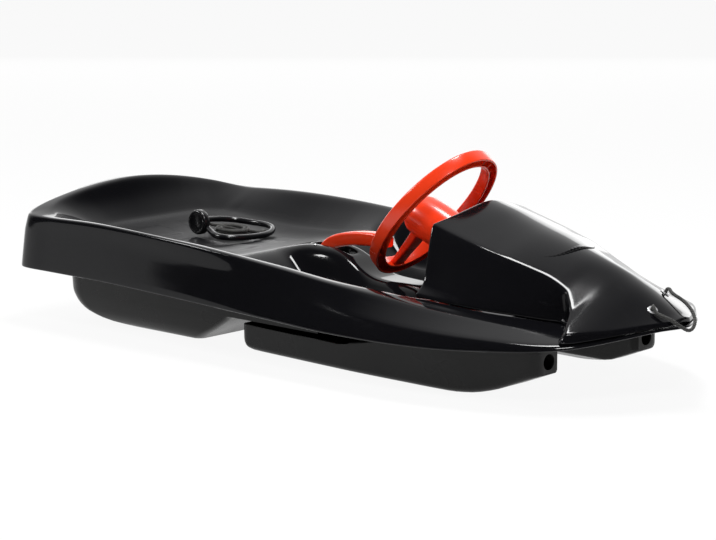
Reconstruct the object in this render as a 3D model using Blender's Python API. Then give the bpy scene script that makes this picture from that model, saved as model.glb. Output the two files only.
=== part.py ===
"""Two-seat steerable snow bob for children.

A wide moulded hull stands on a hollow runner box at the rear and on a twin runner ski at the
front. A steering wheel under the cowl swings the ski through a crank, and a lever between the
rider's legs pushes a toothed claw into the snow. +X is forward, +Y is the rider's left, +Z is up.
"""
import math

import bmesh
import bpy
from mathutils import Matrix, Vector

# Clearances and sheet thicknesses
GAP = 0.0003            # between parts that touch
SEAT_GAP = 0.0006       # between curved faceted faces that lie on each other
RUN_GAP = 0.0005        # between parts that turn in each other
SHEET = 0.003           # wall of the hull, the cowl and the runner box
SKI_SHEET = 0.0035      # wall of the front ski

# Hull rings in plan, as (x, half width) from the middle of the rear to the middle of the nose
SKIRT_PLAN = [(-0.594, 0.0), (-0.594, 0.10), (-0.5935, 0.18), (-0.5905, 0.222), (-0.5795, 0.2465),
              (-0.553, 0.2535), (-0.51, 0.2535), (-0.40, 0.2545), (-0.20, 0.2575), (0.0, 0.2595), (0.15, 0.2605),
              (0.25, 0.2565), (0.35, 0.2385), (0.42, 0.214), (0.47, 0.191), (0.51, 0.160),
              (0.540, 0.123), (0.567, 0.080), (0.592, 0.036), (0.6045, 0.011), (0.606, 0.0)]
CREASE_PLAN = [(-0.590, 0.0), (-0.590, 0.10), (-0.5895, 0.178), (-0.5865, 0.217), (-0.5755, 0.2405),
               (-0.551, 0.2475), (-0.51, 0.2480), (-0.40, 0.2485), (-0.20, 0.2485), (0.0, 0.2475), (0.10, 0.2475),
               (0.20, 0.246), (0.30, 0.2365), (0.40, 0.216), (0.47, 0.187), (0.51, 0.157),
               (0.540, 0.120), (0.566, 0.077), (0.591, 0.034), (0.603, 0.010), (0.6045, 0.0)]
RIM_PLAN = [(-0.586, 0.0), (-0.586, 0.10), (-0.5855, 0.175), (-0.582, 0.215), (-0.570, 0.2365),
            (-0.545, 0.2445), (-0.50, 0.2470), (-0.40, 0.2485), (-0.20, 0.250), (0.0, 0.239), (0.10, 0.226),
            (0.20, 0.209), (0.30, 0.192), (0.40, 0.163), (0.45, 0.142), (0.50, 0.115),
            (0.535, 0.075), (0.552, 0.030), (0.556, 0.0)]
MOUTH_PLAN = [(-0.563, 0.0), (-0.563, 0.10), (-0.562, 0.155), (-0.554, 0.188), (-0.534, 0.211),
              (-0.49, 0.2225), (-0.40, 0.230), (-0.30, 0.236), (-0.20, 0.236), (-0.10, 0.228),
              (0.0, 0.216), (0.05, 0.209), (0.12, 0.197), (0.19, 0.183), (0.235, 0.170),
              (0.27, 0.141), (0.345, 0.124), (0.39, 0.107), (0.43, 0.090), (0.465, 0.072),
              (0.480, 0.045), (0.484, 0.0)]
WALL_PLAN = [(-0.546, 0.0), (-0.546, 0.09), (-0.544, 0.130), (-0.535, 0.162), (-0.512, 0.182),
             (-0.47, 0.194), (-0.40, 0.202), (-0.30, 0.207), (-0.20, 0.207), (-0.10, 0.204),
             (0.0, 0.198), (0.10, 0.184), (0.19, 0.168), (0.235, 0.154), (0.27, 0.134),
             (0.345, 0.117), (0.39, 0.101), (0.43, 0.084), (0.458, 0.066), (0.472, 0.042),
             (0.476, 0.0)]
FOOT_PLAN = [(-0.518, 0.0), (-0.518, 0.08), (-0.516, 0.112), (-0.508, 0.138), (-0.49, 0.155),
             (-0.45, 0.166), (-0.35, 0.174), (-0.20, 0.176), (-0.10, 0.177), (0.0, 0.178),
             (0.10, 0.169), (0.19, 0.154), (0.27, 0.127), (0.345, 0.109), (0.39, 0.094),
             (0.43, 0.077), (0.452, 0.059), (0.462, 0.035), (0.465, 0.0)]
# Heights of the rings along X
SKIRT_Z = [(-0.60, 0.095), (-0.40, 0.095), (-0.20, 0.091), (0.0, 0.085), (0.15, 0.081),
           (0.30, 0.082), (0.42, 0.086), (0.47, 0.089), (0.51, 0.093), (0.535, 0.098),
           (0.555, 0.1035), (0.574, 0.1090), (0.590, 0.1135), (0.606, 0.1155)]
CREASE_Z = [(-0.60, 0.158), (-0.40, 0.160), (-0.20, 0.153), (-0.10, 0.146), (0.0, 0.131),
            (0.10, 0.117), (0.20, 0.109), (0.30, 0.104), (0.40, 0.101), (0.47, 0.0985),
            (0.51, 0.0995), (0.535, 0.104), (0.552, 0.1080), (0.572, 0.1135), (0.590, 0.1175),
            (0.606, 0.1195)]
RIM_Z = [(-0.60, 0.184), (-0.55, 0.184), (-0.40, 0.187), (-0.20, 0.181), (0.0, 0.164),
         (0.10, 0.151), (0.20, 0.139), (0.30, 0.127), (0.40, 0.117), (0.45, 0.112),
         (0.50, 0.1085), (0.535, 0.1065), (0.556, 0.1080)]
MOUTH_Z = [(-0.60, 0.184), (-0.55, 0.184), (-0.40, 0.187), (-0.20, 0.181), (0.0, 0.1635),
           (0.10, 0.150), (0.19, 0.1415), (0.265, 0.1335), (0.345, 0.1265), (0.39, 0.122),
           (0.43, 0.117), (0.484, 0.1125)]
# Backrest: how far the rim rises in the middle of the rear
CROWN_RISE = 0.038
CROWN_HALF = 0.235
CROWN_POWER = 1.8
CROWN_X = (-0.50, -0.555)
# Seat, hump and floor heights along X
SEAT_Z = [(-0.52, 0.155), (-0.495, 0.1505), (-0.465, 0.146), (-0.40, 0.1385), (-0.33, 0.1345),
          (-0.25, 0.137), (-0.19, 0.145), (-0.165, 0.148), (-0.145, 0.142), (-0.115, 0.118),
          (-0.085, 0.099), (-0.05, 0.093), (0.0, 0.093), (0.40, 0.093), (0.47, 0.096)]
HUMP_Z = [(-0.30, 0.1355), (-0.19, 0.145), (-0.165, 0.1495), (-0.12, 0.157), (-0.075, 0.156),
          (-0.04, 0.146), (-0.005, 0.127), (0.02, 0.1195), (0.06, 0.117), (0.10, 0.115),
          (0.122, 0.110), (0.140, 0.093), (0.20, 0.093), (0.47, 0.096)]
HUMP_FLAT = 0.030       # half width of the hump's top
HUMP_FOOT = 0.056       # half width of the hump's foot
FOOT_RISE = 0.004       # how far the wall's foot lies over the floor
# Raised anti-slip pads in the seat
PAD_ROWS = (-0.448, -0.356, -0.264)
PAD_LENGTH = 0.060
PAD_INNER_Y = 0.020
PAD_OUTER_Y = 0.087
PAD_RISE = 0.0015
PAD_SLOPE = 0.002
# Grid lines of the seat and the floor
FLOOR_HALF = 0.118      # half width of the grid under the rider
FLOOR_MARGIN = 0.012    # between the grid and the wall's foot
GRID_REAR_X = -0.495
CREST_ROWS = (-0.210, -0.185, -0.165, -0.147, -0.13, -0.11, -0.085, -0.055, -0.030, -0.005,
              0.02, 0.06, 0.10, 0.122, 0.140, 0.20, 0.26, 0.33, 0.39)
CORNER_STEPS = 6        # rings between the hull's edge and the grid
# Half widths at which each ring's corners start, at the rear and at the nose
REAR_SPAN = (0.165, 0.160, 0.158, 0.148, 0.130, 0.122)
NOSE_SPAN = (0.055, 0.052, 0.050, 0.052, 0.055, 0.060)

# Cowl
RIDGE_Z = [(0.235, 0.2635), (0.265, 0.2550), (0.30, 0.2430), (0.33, 0.2335), (0.36, 0.2250),
           (0.40, 0.2130), (0.45, 0.1985), (0.48, 0.1885), (0.52, 0.1705), (0.55, 0.1545),
           (0.575, 0.1405), (0.590, 0.1325), (0.602, 0.1285)]
HOOD_DROP = [(0.216, 0.0216), (0.281, 0.0245), (0.344, 0.0240), (0.378, 0.0266), (0.426, 0.0340),
             (0.460, 0.0400), (0.48, 0.0410), (0.50, 0.0385), (0.52, 0.0372), (0.55, 0.0365), (0.575, 0.034),
             (0.590, 0.030), (0.60, 0.030)]
HOOD_POWER = [(0.216, 1.3), (0.281, 1.4), (0.344, 1.5), (0.390, 1.45), (0.430, 1.38), (0.48, 1.2),
              (0.60, 1.2)]
HOOD_UNIT = 0.1         # the drop is measured this far from the middle
SHOULDER_Y = [(0.235, 0.112), (0.281, 0.112), (0.344, 0.107), (0.378, 0.099), (0.426, 0.089),
              (0.441, 0.0892), (0.452, 0.0905), (0.465, 0.099), (0.477, 0.110), (0.487, 0.125),
              (0.495, 0.140), (0.503, 0.152), (0.510, 0.160), (0.60, 0.160)]
RECESS_EDGE = (0.452, 0.468)        # the recess wall turns out to the nose here
FOOT_CLOSING = (0.484, 0.503)       # the foot crosses the deck to the lip here
RECESS_MID_Y = [(0.235, 0.130), (0.30, 0.127), (0.35, 0.119), (0.40, 0.104), (0.452, 0.091)]
RECESS_LOW_Y = [(0.235, 0.149), (0.30, 0.149), (0.35, 0.139), (0.40, 0.118), (0.452, 0.094)]
RECESS_FOOT_Y = [(0.235, 0.170), (0.265, 0.164), (0.30, 0.157), (0.345, 0.146), (0.39, 0.126),
                 (0.43, 0.107), (0.452, 0.097), (0.465, 0.104), (0.477, 0.115), (0.487, 0.129),
                 (0.495, 0.143), (0.503, 0.153)]
REAR_BOW = 0.019        # how far the cowl's rear edge leans back at its shoulders
REAR_BOW_END = 0.31
LIP_STEP = 0.003        # from the cowl's edge in to the hull's lip
FOOT_BAND = 0.004       # upright strip at the cowl's foot
COWL_STATIONS = (0.235, 0.262, 0.29, 0.318, 0.346, 0.372, 0.398, 0.424, 0.441, 0.452, 0.460,
                 0.468, 0.475, 0.482, 0.488, 0.494, 0.500, 0.507, 0.515, 0.525, 0.537, 0.549,
                 0.560, 0.571, 0.582, 0.592, 0.600)

# Oval badge on the cowl
BADGE_X = 0.352
BADGE_HALF_X = 0.068
BADGE_HALF_Y = 0.082
BADGE_THICK = 0.0015
BADGE_GAP = 0.0008
BADGE_LIFT = 0.0022     # extra height at its front edge

# Runner box under the seat
BOX_REAR = [(0.0, -0.452), (0.002, -0.486), (0.008, -0.520), (0.018, -0.546), (0.030, -0.560),
            (0.050, -0.569), (0.118, -0.572)]       # its faces as (height, place)
BOX_FRONT = [(0.0, -0.252), (0.010, -0.234), (0.025, -0.206), (0.040, -0.181), (0.047, -0.170),
             (0.0515, -0.1605), (0.118, -0.1605)]
BOX_HALF = [(0.0, 0.147), (0.003, 0.152), (0.010, 0.157), (0.020, 0.161), (0.0515, 0.1655),
            (0.118, 0.1665)]
BOX_LEVELS = (0.0, 0.003, 0.010, 0.019, 0.030, 0.040, 0.047, 0.0515, 0.070, 0.118)
BOX_TOP_Z = BOX_LEVELS[-1]
BOX_CORNER = 0.046      # plan radius of the rear corners
BOX_FRONT_CORNER = 0.014
CLAW_SLOT_X = (-0.244, -0.140)      # the claw swings through the box's front here
CLAW_SLOT_Y = 0.0195
RAIL_X = (-0.200, 0.030)            # two rails carry the box's sides on over the ski
RAIL_Y = (0.1600, 0.1660)
RAIL_Z = (0.0515, 0.0885)

# Front ski
SKI_REAR_X = -0.153
SKI_FRONT_X = 0.448
SKI_OUTER_Y = [(-0.153, 0.152), (-0.09, 0.156), (0.0, 0.161), (0.13, 0.166), (0.24, 0.166),
               (0.30, 0.164), (0.38, 0.158), (0.448, 0.150)]
SKI_INNER_Y = 0.100
SKI_INNER_RISE = 0.018      # the underside slopes up to the inner edge
SKI_GAP_Y = SKI_INNER_Y - 0.0006      # the open gaps between the runners
SKI_TOP_Z = 0.0785
SKI_SIDE_TOP = [(-0.153, 0.0405), (0.07, 0.0405), (0.10, 0.0455), (0.14, 0.053), (0.17, 0.060),
                (0.215, 0.0775), (0.448, 0.0775)]       # top of its outer sides
SKI_MID_TOP = [(-0.153, 0.0405), (0.085, 0.0405), (0.112, SKI_TOP_Z), (0.448, SKI_TOP_Z)]
BRIDGE_SHOULDER = 0.012     # the top slopes to the outer side from here
SKI_RISE = [(-0.153, 0.030), (-0.148, 0.010), (-0.138, 0.002), (-0.12, 0.0), (0.29, 0.0),
            (0.33, 0.003), (0.37, 0.012), (0.41, 0.027), (0.448, 0.042)]

# Steering
WHEEL_X = 0.121
WHEEL_Z = 0.232
WHEEL_TILT = math.radians(48.0)     # of the wheel's plane against the ground
WHEEL_HALF_HIGH = 0.133
WHEEL_HALF_WIDE = 0.100
WHEEL_RADIAL = 0.018
WHEEL_DEPTH = 0.022
WHEEL_WALL = 0.0032
WHEEL_STEPS = 44
COLUMN_R = 0.008
COLUMN_TOP = 0.010      # start of the column, along it from the wheel's centre
CRANK_THROW = 0.0335
PIN_R = 0.005
PIN_LENGTH = 0.038
KINGPIN_X = 0.160
KINGPIN_R = 0.006
TURNTABLE_R = 0.036

# Brake
BRAKE_X = -0.110
BRAKE_Z = 0.125
BRAKE_PIN_R = 0.004
LEVER_HALF_Y = 0.011
LEVER_SLOT_X = (-0.131, -0.046)
LEVER_SLOT_Y = 0.0125
LEVER_SLOT_Z = (0.135, 0.175)
CLAW_REACH = 0.136      # from the pivot to the claw's tip
CLAW_DIR = (-0.844, 0.0, -0.536)
CLAW_THICK = 0.003
CLAW_HALF_Y = 0.009
TONGUE_HALF = 0.006
TONGUE_LENGTH = 0.042
BRACKET_Y = 0.0142      # inner faces of the two brackets
BRACKET_THICK = 0.003
BRACKET_X = (-0.126, -0.094)
BRACKET_LOW_Z = 0.112
BRACKET_TOP_Z = 0.1495
BRACKET_FLANGE = 0.0125
RIVET_R = 0.0016

# Screws, bosses and holes
SCREW_R = 0.0018
SCREW_BORE = 0.0021     # bore that a screw bites in
SCREW_HOLE = 0.0024     # clearance hole
BOSS_R = 0.008
TUBE_R = 0.0115
WELL_R = 0.0078
WELL_ROOF = 0.006
BOX_TUBE_TOP = 0.117
BOX_SCREW_GRIP = 0.0125
BOX_SCREW_Y = BOX_HALF[-1][1] - 0.0545      # in from the box's side
BOX_SCREWS = [(x, side * BOX_SCREW_Y) for x in (-0.450, -0.305) for side in (-1, 1)]
COWL_BOSS_R = 0.005
BOSS_LIFT = {0.285: 0.0012, 0.40: 0.0012, 0.505: 0.0034}
COWL_BOSS_HIGH = {0.285: 0.010, 0.40: 0.012}     # the nose bosses reach the cowl's roof
NOSE_BOSS_SHORT = 0.0025
COWL_SCREW_DROP = {0.285: 0.0028, 0.40: 0.0024, 0.505: 0.0014}     # under a sloping deck
COWL_SCREWS = [(x, side * y) for x, y in ((0.285, 0.148), (0.40, 0.1125), (0.505, 0.060))
               for side in (-1, 1)]
FLOOR_Z = 0.093
LIP_INSET = 0.0012      # the cowl's foot inside the hull's lip
LIP_GAP = 0.0022
DECK_GAP = 0.0009

# Steering details
BLOCK_X = (0.218, 0.256)
BLOCK_HALF_Y = 0.022
BLOCK_TOP_Z = 0.160
BLOCK_FLANGE_Y = 0.041
BLOCK_FLANGE = 0.006
BLOCK_SCREW_X = 0.237
BLOCK_SCREW_Y = 0.032
COLUMN_SLOT_X = (0.2605, 0.312)
COLUMN_SLOT_Y = 0.022
CRANK_FROM = 0.219      # start of the crank plate along the column
CRANK_THICK = 0.008
CRANK_HUB_R = 0.012
CRANK_BOSS_R = 0.0085
HUB_R = 0.034
HUB_LINE = ((0.0745, 0.2340, 0.006), (0.0765, 0.2330, 0.016), (0.082, 0.2312, 0.0245),
            (0.092, 0.2278, 0.0310), (0.106, 0.2230, 0.0340), (0.130, 0.2140, 0.0340),
            (0.155, 0.2035, 0.0340), (0.185, 0.1870, 0.0340))
HUB_SLEEVE = (0.002, 0.084)
HUB_BOLT_AT = 0.066
HUB_BOLT_R = 0.003
COLLAR_AT = 0.105
COLLAR_THICK = 0.009

# Ski details
SKI_CORNER = 0.014
SKI_EDGE = 0.009
SKI_BRIDGE_REAR = 0.114
BRIDGE_THICK = 0.006
BRIDGE_UNDER_Z = SKI_TOP_Z - BRIDGE_THICK
TRAY_X = 0.225          # the bridge steps down to the tray here
TRAY_FRONT = 0.335
TRAY_UNDER_Z = 0.0445
TRAY_TOP_Z = 0.048
SKI_MOUTH_Y = 0.119
SKI_MOUTH_Z = 0.0605
SKI_MOUTH_HALF = (0.0125, 0.012)
PIN_SLOT_X = (0.2640, 0.3050)
PIN_SLOT_Y = 0.0074

# Wheel details: the spoke as (up, along, thickness, half width)
BOLT_BOSS_R = 0.0065
SPOKE_LINE = ((-0.122, 0.0035, 0.009, 0.013), (-0.090, 0.0035, 0.011, 0.0125),
              (-0.060, 0.004, 0.013, 0.014), (-0.030, 0.004, 0.015, 0.017))

# Kingpin
WASHER_LOW_Z = 0.0705
WASHER_THICK = 0.0015
KINGPIN_TOP_Z = 0.1060

# Brake details: the lever's middle line as (x, z, thickness)
LEVER_LINE = ((-0.110, 0.119, 0.019), (-0.109, 0.135, 0.019), (-0.103, 0.150, 0.020),
              (-0.089, 0.1605, 0.021), (-0.066, 0.168, 0.022), (-0.034, 0.1735, 0.022),
              (-0.004, 0.1755, 0.022), (0.018, 0.1745, 0.021), (0.029, 0.1735, 0.016))
CLAW_START = 0.0145
CLAW_RIVETS = (0.022, 0.035)
PIVOT_PIN_LENGTH = 0.050
SPRING_R = 0.0058
SPRING_WIRE_R = 0.0006
SPRING_TURNS = 3
SPRING_PITCH = 0.0019
SPRING_STEPS = 12

# Ropes and handle
ROPE_R = 0.003
EYELETS = {-1: (COWL_STATIONS[-1] - 0.036, 0.027),      # right, then left: behind the tip
           1: (COWL_STATIONS[-1] - 0.070, 0.050)}
EYELET_BORE = 0.0038
EYELET_TUBE_R = 0.0052
EYELET_FLANGE_R = 0.0080
DRAIN_HOLE = (-0.547, 0.0, 0.186)
DRAIN_WAY = (0.917, 0.0, 0.4)       # square to the backrest
DRAIN_R = 0.003
KNOT_R = 0.0065
ROPE_START = 0.009      # how far inside the eyelets the nose rope starts
ROPE_STEP = 0.0078      # between the points of a rope
NOSE_ROUTE = [(0.5750, -0.0335, 0.1385), (0.5990, -0.0295, 0.1300), (0.6130, -0.0200, 0.1190),
              (0.6175, -0.0070, 0.1145), (0.6143, 0.0080, 0.1238), (0.5988, 0.0220, 0.1359),
              (0.5758, 0.0340, 0.1455), (0.5480, 0.0440, 0.1525)]
COIL_X = -0.363
COIL_Y = 0.038
COIL_Z = 0.1386         # what the middle of the coil lies on
COIL_SLOPE = -0.057
COIL_R = 0.031
COIL_PITCH = 0.0068
COIL_LAYER = 0.0066
COIL_TURNS = 2          # turns in each layer, and what the coil has over them
COIL_EXTRA = 0.25
COIL_STEPS = 24
COIL_END_ANGLE = math.pi
TAIL_KNOT = (-0.3175, 0.069, 0.1419)
HUB_X = -0.3895
HUB_Y = -0.013
HUB_Z = 0.1622
HUB_THICK = 0.014
HUB_DISC_R = 0.021
GRIP_R = 0.005
GRIP_ROUTE = [(-0.3680, -0.0135, 0.1539), (-0.3560, -0.0180, 0.1501), (-0.3360, -0.0260, 0.1468),
              (-0.3160, -0.0230, 0.1453), (-0.3020, -0.0020, 0.1440), (-0.2970, 0.0320, 0.1430),
              (-0.3010, 0.0650, 0.1436), (-0.3170, 0.0900, 0.1468), (-0.3430, 0.1010, 0.1490),
              (-0.3760, 0.1010, 0.1494), (-0.4030, 0.0900, 0.1518), (-0.4170, 0.0650, 0.1553),
              (-0.4180, 0.0320, 0.1583), (-0.4130, 0.0060, 0.1605), (-0.4070, -0.0053, 0.1612)]

# Colours
BLACK_GLOSS = (0.004, 0.004, 0.005)
BLACK_SATIN = (0.012, 0.012, 0.012)
BLACK_CORD = (0.02, 0.02, 0.018)
RED = (0.80, 0.028, 0.004)
STEEL = (0.55, 0.55, 0.56)


def clear_scene():
    for old in list(bpy.data.objects):
        bpy.data.objects.remove(old)


def material(name, colour, roughness, metallic=0.0):
    mat = bpy.data.materials.new(name)
    mat.use_nodes = True
    shader = mat.node_tree.nodes["Principled BSDF"]
    shader.inputs["Base Color"].default_value = (*colour, 1.0)
    shader.inputs["Roughness"].default_value = roughness
    shader.inputs["Metallic"].default_value = metallic
    return mat


def curve(table, x):
    """Height of a smooth curve through the table's points, which never overshoots them."""
    if x <= table[0][0]:
        return table[0][1]
    if x >= table[-1][0]:
        return table[-1][1]
    k = 0
    while table[k + 1][0] < x:
        k += 1

    def slope(j):
        if j <= 0 or j >= len(table) - 1:
            a, b = (0, 1) if j <= 0 else (-2, -1)
            return (table[b][1] - table[a][1]) / (table[b][0] - table[a][0])
        left = (table[j][1] - table[j - 1][1]) / (table[j][0] - table[j - 1][0])
        right = (table[j + 1][1] - table[j][1]) / (table[j + 1][0] - table[j][0])
        if left * right <= 0.0:
            return 0.0
        return 2.0 * left * right / (left + right)

    (x0, y0), (x1, y1) = table[k], table[k + 1]
    step = x1 - x0
    u = (x - x0) / step
    return ((2 * u ** 3 - 3 * u ** 2 + 1) * y0 + (u ** 3 - 2 * u ** 2 + u) * step * slope(k)
            + (3 * u ** 2 - 2 * u ** 3) * y1 + (u ** 3 - u ** 2) * step * slope(k + 1))


def smooth(edge0, edge1, x):
    u = min(1.0, max(0.0, (x - edge0) / (edge1 - edge0)))
    return u * u * (3.0 - 2.0 * u)


def place(name, mesh, mat, sharp=35.0, origin=None):
    """An object on its mesh, smooth shaded, with its origin on the joint that carries it."""
    obj = bpy.data.objects.new(name, mesh)
    bpy.context.scene.collection.objects.link(obj)
    mesh.materials.append(mat)
    mesh.shade_smooth()
    mesh.set_sharp_from_angle(angle=math.radians(sharp))
    if origin is not None:
        mesh.transform(Matrix.Translation(-Vector(origin)))
        obj.location = origin
    return obj


def to_mesh(bm, name):
    mesh = bpy.data.meshes.new(name)
    bm.to_mesh(mesh)
    bm.free()
    return mesh


def sheet_mesh(name, rows):
    """A grid of points as a sheet of quads."""
    bm = bmesh.new()
    grid = [[bm.verts.new(p) for p in row] for row in rows]
    for near, far in zip(grid, grid[1:]):
        for k in range(len(near) - 1):
            bm.faces.new((near[k], far[k], far[k + 1], near[k + 1]))
    return to_mesh(bm, name)


def loft_mesh(name, rings, closed=False):
    """A solid through closed rings of equal length, capped at both ends unless it closes."""
    bm = bmesh.new()
    loops = [[bm.verts.new(p) for p in ring] for ring in rings]
    count = len(loops[0])
    pairs = list(zip(loops, loops[1:]))
    if closed:
        pairs.append((loops[-1], loops[0]))
    for near, far in pairs:
        for k in range(count):
            bm.faces.new((near[k], near[(k + 1) % count], far[(k + 1) % count], far[k]))
    if not closed:
        bm.faces.new(loops[0][::-1])
        bm.faces.new(loops[-1])
    bmesh.ops.recalc_face_normals(bm, faces=bm.faces)
    return to_mesh(bm, name)


def thicken(obj, thickness, offset=-1.0):
    wall = obj.modifiers.new("Wall", "SOLIDIFY")
    wall.thickness = thickness
    wall.offset = offset
    wall.use_even_offset = True
    return wall


def cut(obj, cutter, operation="DIFFERENCE"):
    mod = obj.modifiers.new("Cut", "BOOLEAN")
    mod.operation = operation
    mod.solver = "EXACT"
    mod.object = cutter
    cutter.hide_render = True
    cutter.display_type = "WIRE"


def basis(direction):
    """Two unit vectors square to a direction and to each other."""
    axis = Vector(direction).normalized()
    side = Vector((0.0, 1.0, 0.0)) if abs(axis.y) < 0.9 else Vector((1.0, 0.0, 0.0))
    first = axis.cross(side).normalized()
    return axis, first, axis.cross(first).normalized()


def turned(name, start, direction, profile, sides=20):
    """A round solid along a direction. The profile is (distance, radius) pairs."""
    axis, first, second = basis(direction)
    rings = []
    for along, radius in profile:
        centre = Vector(start) + axis * along
        rings.append([centre + (first * math.cos(a) + second * math.sin(a)) * radius
                      for a in (2 * math.pi * k / sides for k in range(sides))])
    return loft_mesh(name, rings)


def ring_solid(name, start, direction, profile, sides=20):
    """A round solid with a bore. The profile is a closed outline of (distance, radius)."""
    axis, first, second = basis(direction)
    rings = []
    for k in range(sides):
        angle = 2 * math.pi * k / sides
        out = first * math.cos(angle) + second * math.sin(angle)
        rings.append([Vector(start) + axis * along + out * radius for along, radius in profile])
    return loft_mesh(name, rings, closed=True)


def box_mesh(name, low, high):
    bm = bmesh.new()
    bmesh.ops.create_cube(bm, size=1.0)
    low, high = Vector(low), Vector(high)
    bmesh.ops.scale(bm, vec=high - low, verts=bm.verts)
    bmesh.ops.translate(bm, vec=(low + high) / 2, verts=bm.verts)
    return to_mesh(bm, name)


def cutter(name, mesh):
    obj = bpy.data.objects.new(name, mesh)
    bpy.context.scene.collection.objects.link(obj)
    obj.hide_render = True
    obj.display_type = "WIRE"
    return obj


# Hull

def rounded(points, steps=10):
    """A dense smooth line through plan points, as (x, y) with the distance along it."""
    line = [(points[0][0], points[0][1], 0.0)]
    count = len(points)
    for k in range(count - 1):
        p1, p2 = Vector(points[k]), Vector(points[k + 1])
        p0 = Vector(points[k - 1]) if k else Vector((p2.x, -p2.y))
        p3 = Vector(points[k + 2]) if k < count - 2 else Vector((p1.x, -p1.y))
        t1 = (p1 - p0).length ** 0.5
        t2 = t1 + (p2 - p1).length ** 0.5
        t3 = t2 + (p3 - p2).length ** 0.5
        for j in range(1, steps + 1):
            t = t1 + (t2 - t1) * j / steps
            a1 = p0 * ((t1 - t) / t1) + p1 * (t / t1)
            a2 = p1 * ((t2 - t) / (t2 - t1)) + p2 * ((t - t1) / (t2 - t1))
            a3 = p2 * ((t3 - t) / (t3 - t2)) + p3 * ((t - t2) / (t3 - t2))
            b1 = a1 * ((t2 - t) / t2) + a2 * (t / t2)
            b2 = a2 * ((t3 - t) / (t3 - t1)) + a3 * ((t - t1) / (t3 - t1))
            point = b1 * ((t2 - t) / (t2 - t1)) + b2 * ((t - t1) / (t2 - t1))
            last = line[-1]
            far = last[2] + math.dist(last[:2], point)
            line.append((point.x, point.y, far))
    return line


def crossing(line, value, axis, backwards=False):
    """The first place where x (axis 0) or y (axis 1) passes a value, as (x, y, distance)."""
    pairs = list(zip(line, line[1:]))
    if backwards:
        pairs.reverse()
    for a, b in pairs:
        low, high = sorted((a[axis], b[axis]))
        if low <= value <= high:
            u = 0.0 if high == low else (value - a[axis]) / (b[axis] - a[axis])
            return tuple(a[j] + (b[j] - a[j]) * u for j in range(3))
    return line[-1]


def at_distance(line, distance):
    for a, b in zip(line, line[1:]):
        if b[2] >= distance:
            u = (distance - a[2]) / max(1e-9, b[2] - a[2])
            return a[0] + (b[0] - a[0]) * u, a[1] + (b[1] - a[1]) * u
    return line[-1][:2]


def crown(x, y):
    side = max(0.0, 1.0 - (abs(y) / CROWN_HALF) ** CROWN_POWER)
    return CROWN_RISE * side * smooth(CROWN_X[0], CROWN_X[1], x)


def floor_z(x, y):
    """Seat, hump, console and floor as one height field."""
    low = curve(SEAT_Z, x)
    high = max(low, curve(HUMP_Z, x))
    return high + (low - high) * smooth(HUMP_FLAT, HUMP_FOOT, abs(y))


def pad_z(x, y):
    """Height of the raised pads over the seat."""
    along = min(abs(x - row) for row in PAD_ROWS)
    across = abs(abs(y) - (PAD_INNER_Y + PAD_OUTER_Y) / 2)
    inside = (along < PAD_LENGTH / 2 - PAD_SLOPE / 2
              and across < (PAD_OUTER_Y - PAD_INNER_Y) / 2 - PAD_SLOPE / 2)
    return PAD_RISE if inside else 0.0


def ring_z(ring, x, y):
    """Height of each ring: skirt, crease, rim, mouth, wall and wall foot."""
    foot = floor_z(x, y) + FOOT_RISE
    mouth = curve(MOUTH_Z, x) + crown(x, y)
    return (curve(SKIRT_Z, x), curve(CREASE_Z, x), curve(RIM_Z, x) + crown(x, y), mouth,
            (foot + mouth) / 2, foot)[ring]


def grid_rows():
    rows = [GRID_REAR_X]
    for row in PAD_ROWS:
        for side in (-1, 1):
            edge = row + side * PAD_LENGTH / 2
            rows += sorted((edge, edge - side * PAD_SLOPE))
    return rows + list(CREST_ROWS)


def grid_columns():
    half = [PAD_INNER_Y, PAD_INNER_Y + PAD_SLOPE, HUMP_FLAT + 0.004, HUMP_FOOT,
            PAD_OUTER_Y - PAD_SLOPE, PAD_OUTER_Y, FLOOR_HALF]
    return [-y for y in reversed(half)] + [0.0] + half


def hull_points():
    """The hull's skin as a grid whose outer rings run round the edge like a picture frame."""
    rows, columns = grid_rows(), grid_columns()
    last_row = len(rows) - 1 + 2 * CORNER_STEPS
    last_column = len(columns) - 1 + 2 * CORNER_STEPS
    points = [[None] * (last_column + 1) for _ in range(last_row + 1)]

    def put(ring, s, t, x, y):
        z = ring_z(ring, x, y)
        points[s][t] = (x, y, z)
        points[s][last_column - t] = (x, -y, z)

    first, last = CORNER_STEPS, last_row - CORNER_STEPS
    middle = last_column // 2
    inner = last_column - CORNER_STEPS
    plans = (SKIRT_PLAN, CREASE_PLAN, RIM_PLAN, MOUTH_PLAN, WALL_PLAN, FOOT_PLAN)
    for ring, plan in enumerate(plans):
        line = rounded(plan)
        side = last_column - ring
        for s in range(first, last + 1):
            x, y, _ = crossing(line, rows[s - CORNER_STEPS], 0)
            put(ring, s, side, x, y)
        ends = ((ring, REAR_SPAN[ring], first, False),
                (last_row - ring, NOSE_SPAN[ring], last, True))
        for end, span, corner, backwards in ends:
            for t in range(middle, inner + 1):
                want = columns[t - CORNER_STEPS] * span / FLOOR_HALF
                x, y, far = crossing(line, want, 1, backwards)
                put(ring, end, t, x, y)
            start = far
            stop = crossing(line, rows[corner - CORNER_STEPS], 0)[2]
            steps = 2 * (CORNER_STEPS - ring)
            toward = 1 if end < corner else -1
            for j in range(1, steps):
                x, y = at_distance(line, start + (stop - start) * j / steps)
                if j <= steps // 2:
                    put(ring, end, inner + j, x, y)
                else:
                    put(ring, end + toward * (j - steps // 2), side, x, y)
    foot = rounded(FOOT_PLAN)
    for s in range(first, last + 1):
        x = rows[s - CORNER_STEPS]
        room = crossing(foot, x, 0)[1] - FLOOR_MARGIN
        squeeze = min(1.0, room / FLOOR_HALF)
        for t in range(CORNER_STEPS, inner + 1):
            y = columns[t - CORNER_STEPS] * squeeze
            points[s][t] = (x, y, floor_z(x, y) + pad_z(x, y))
    return points


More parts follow.
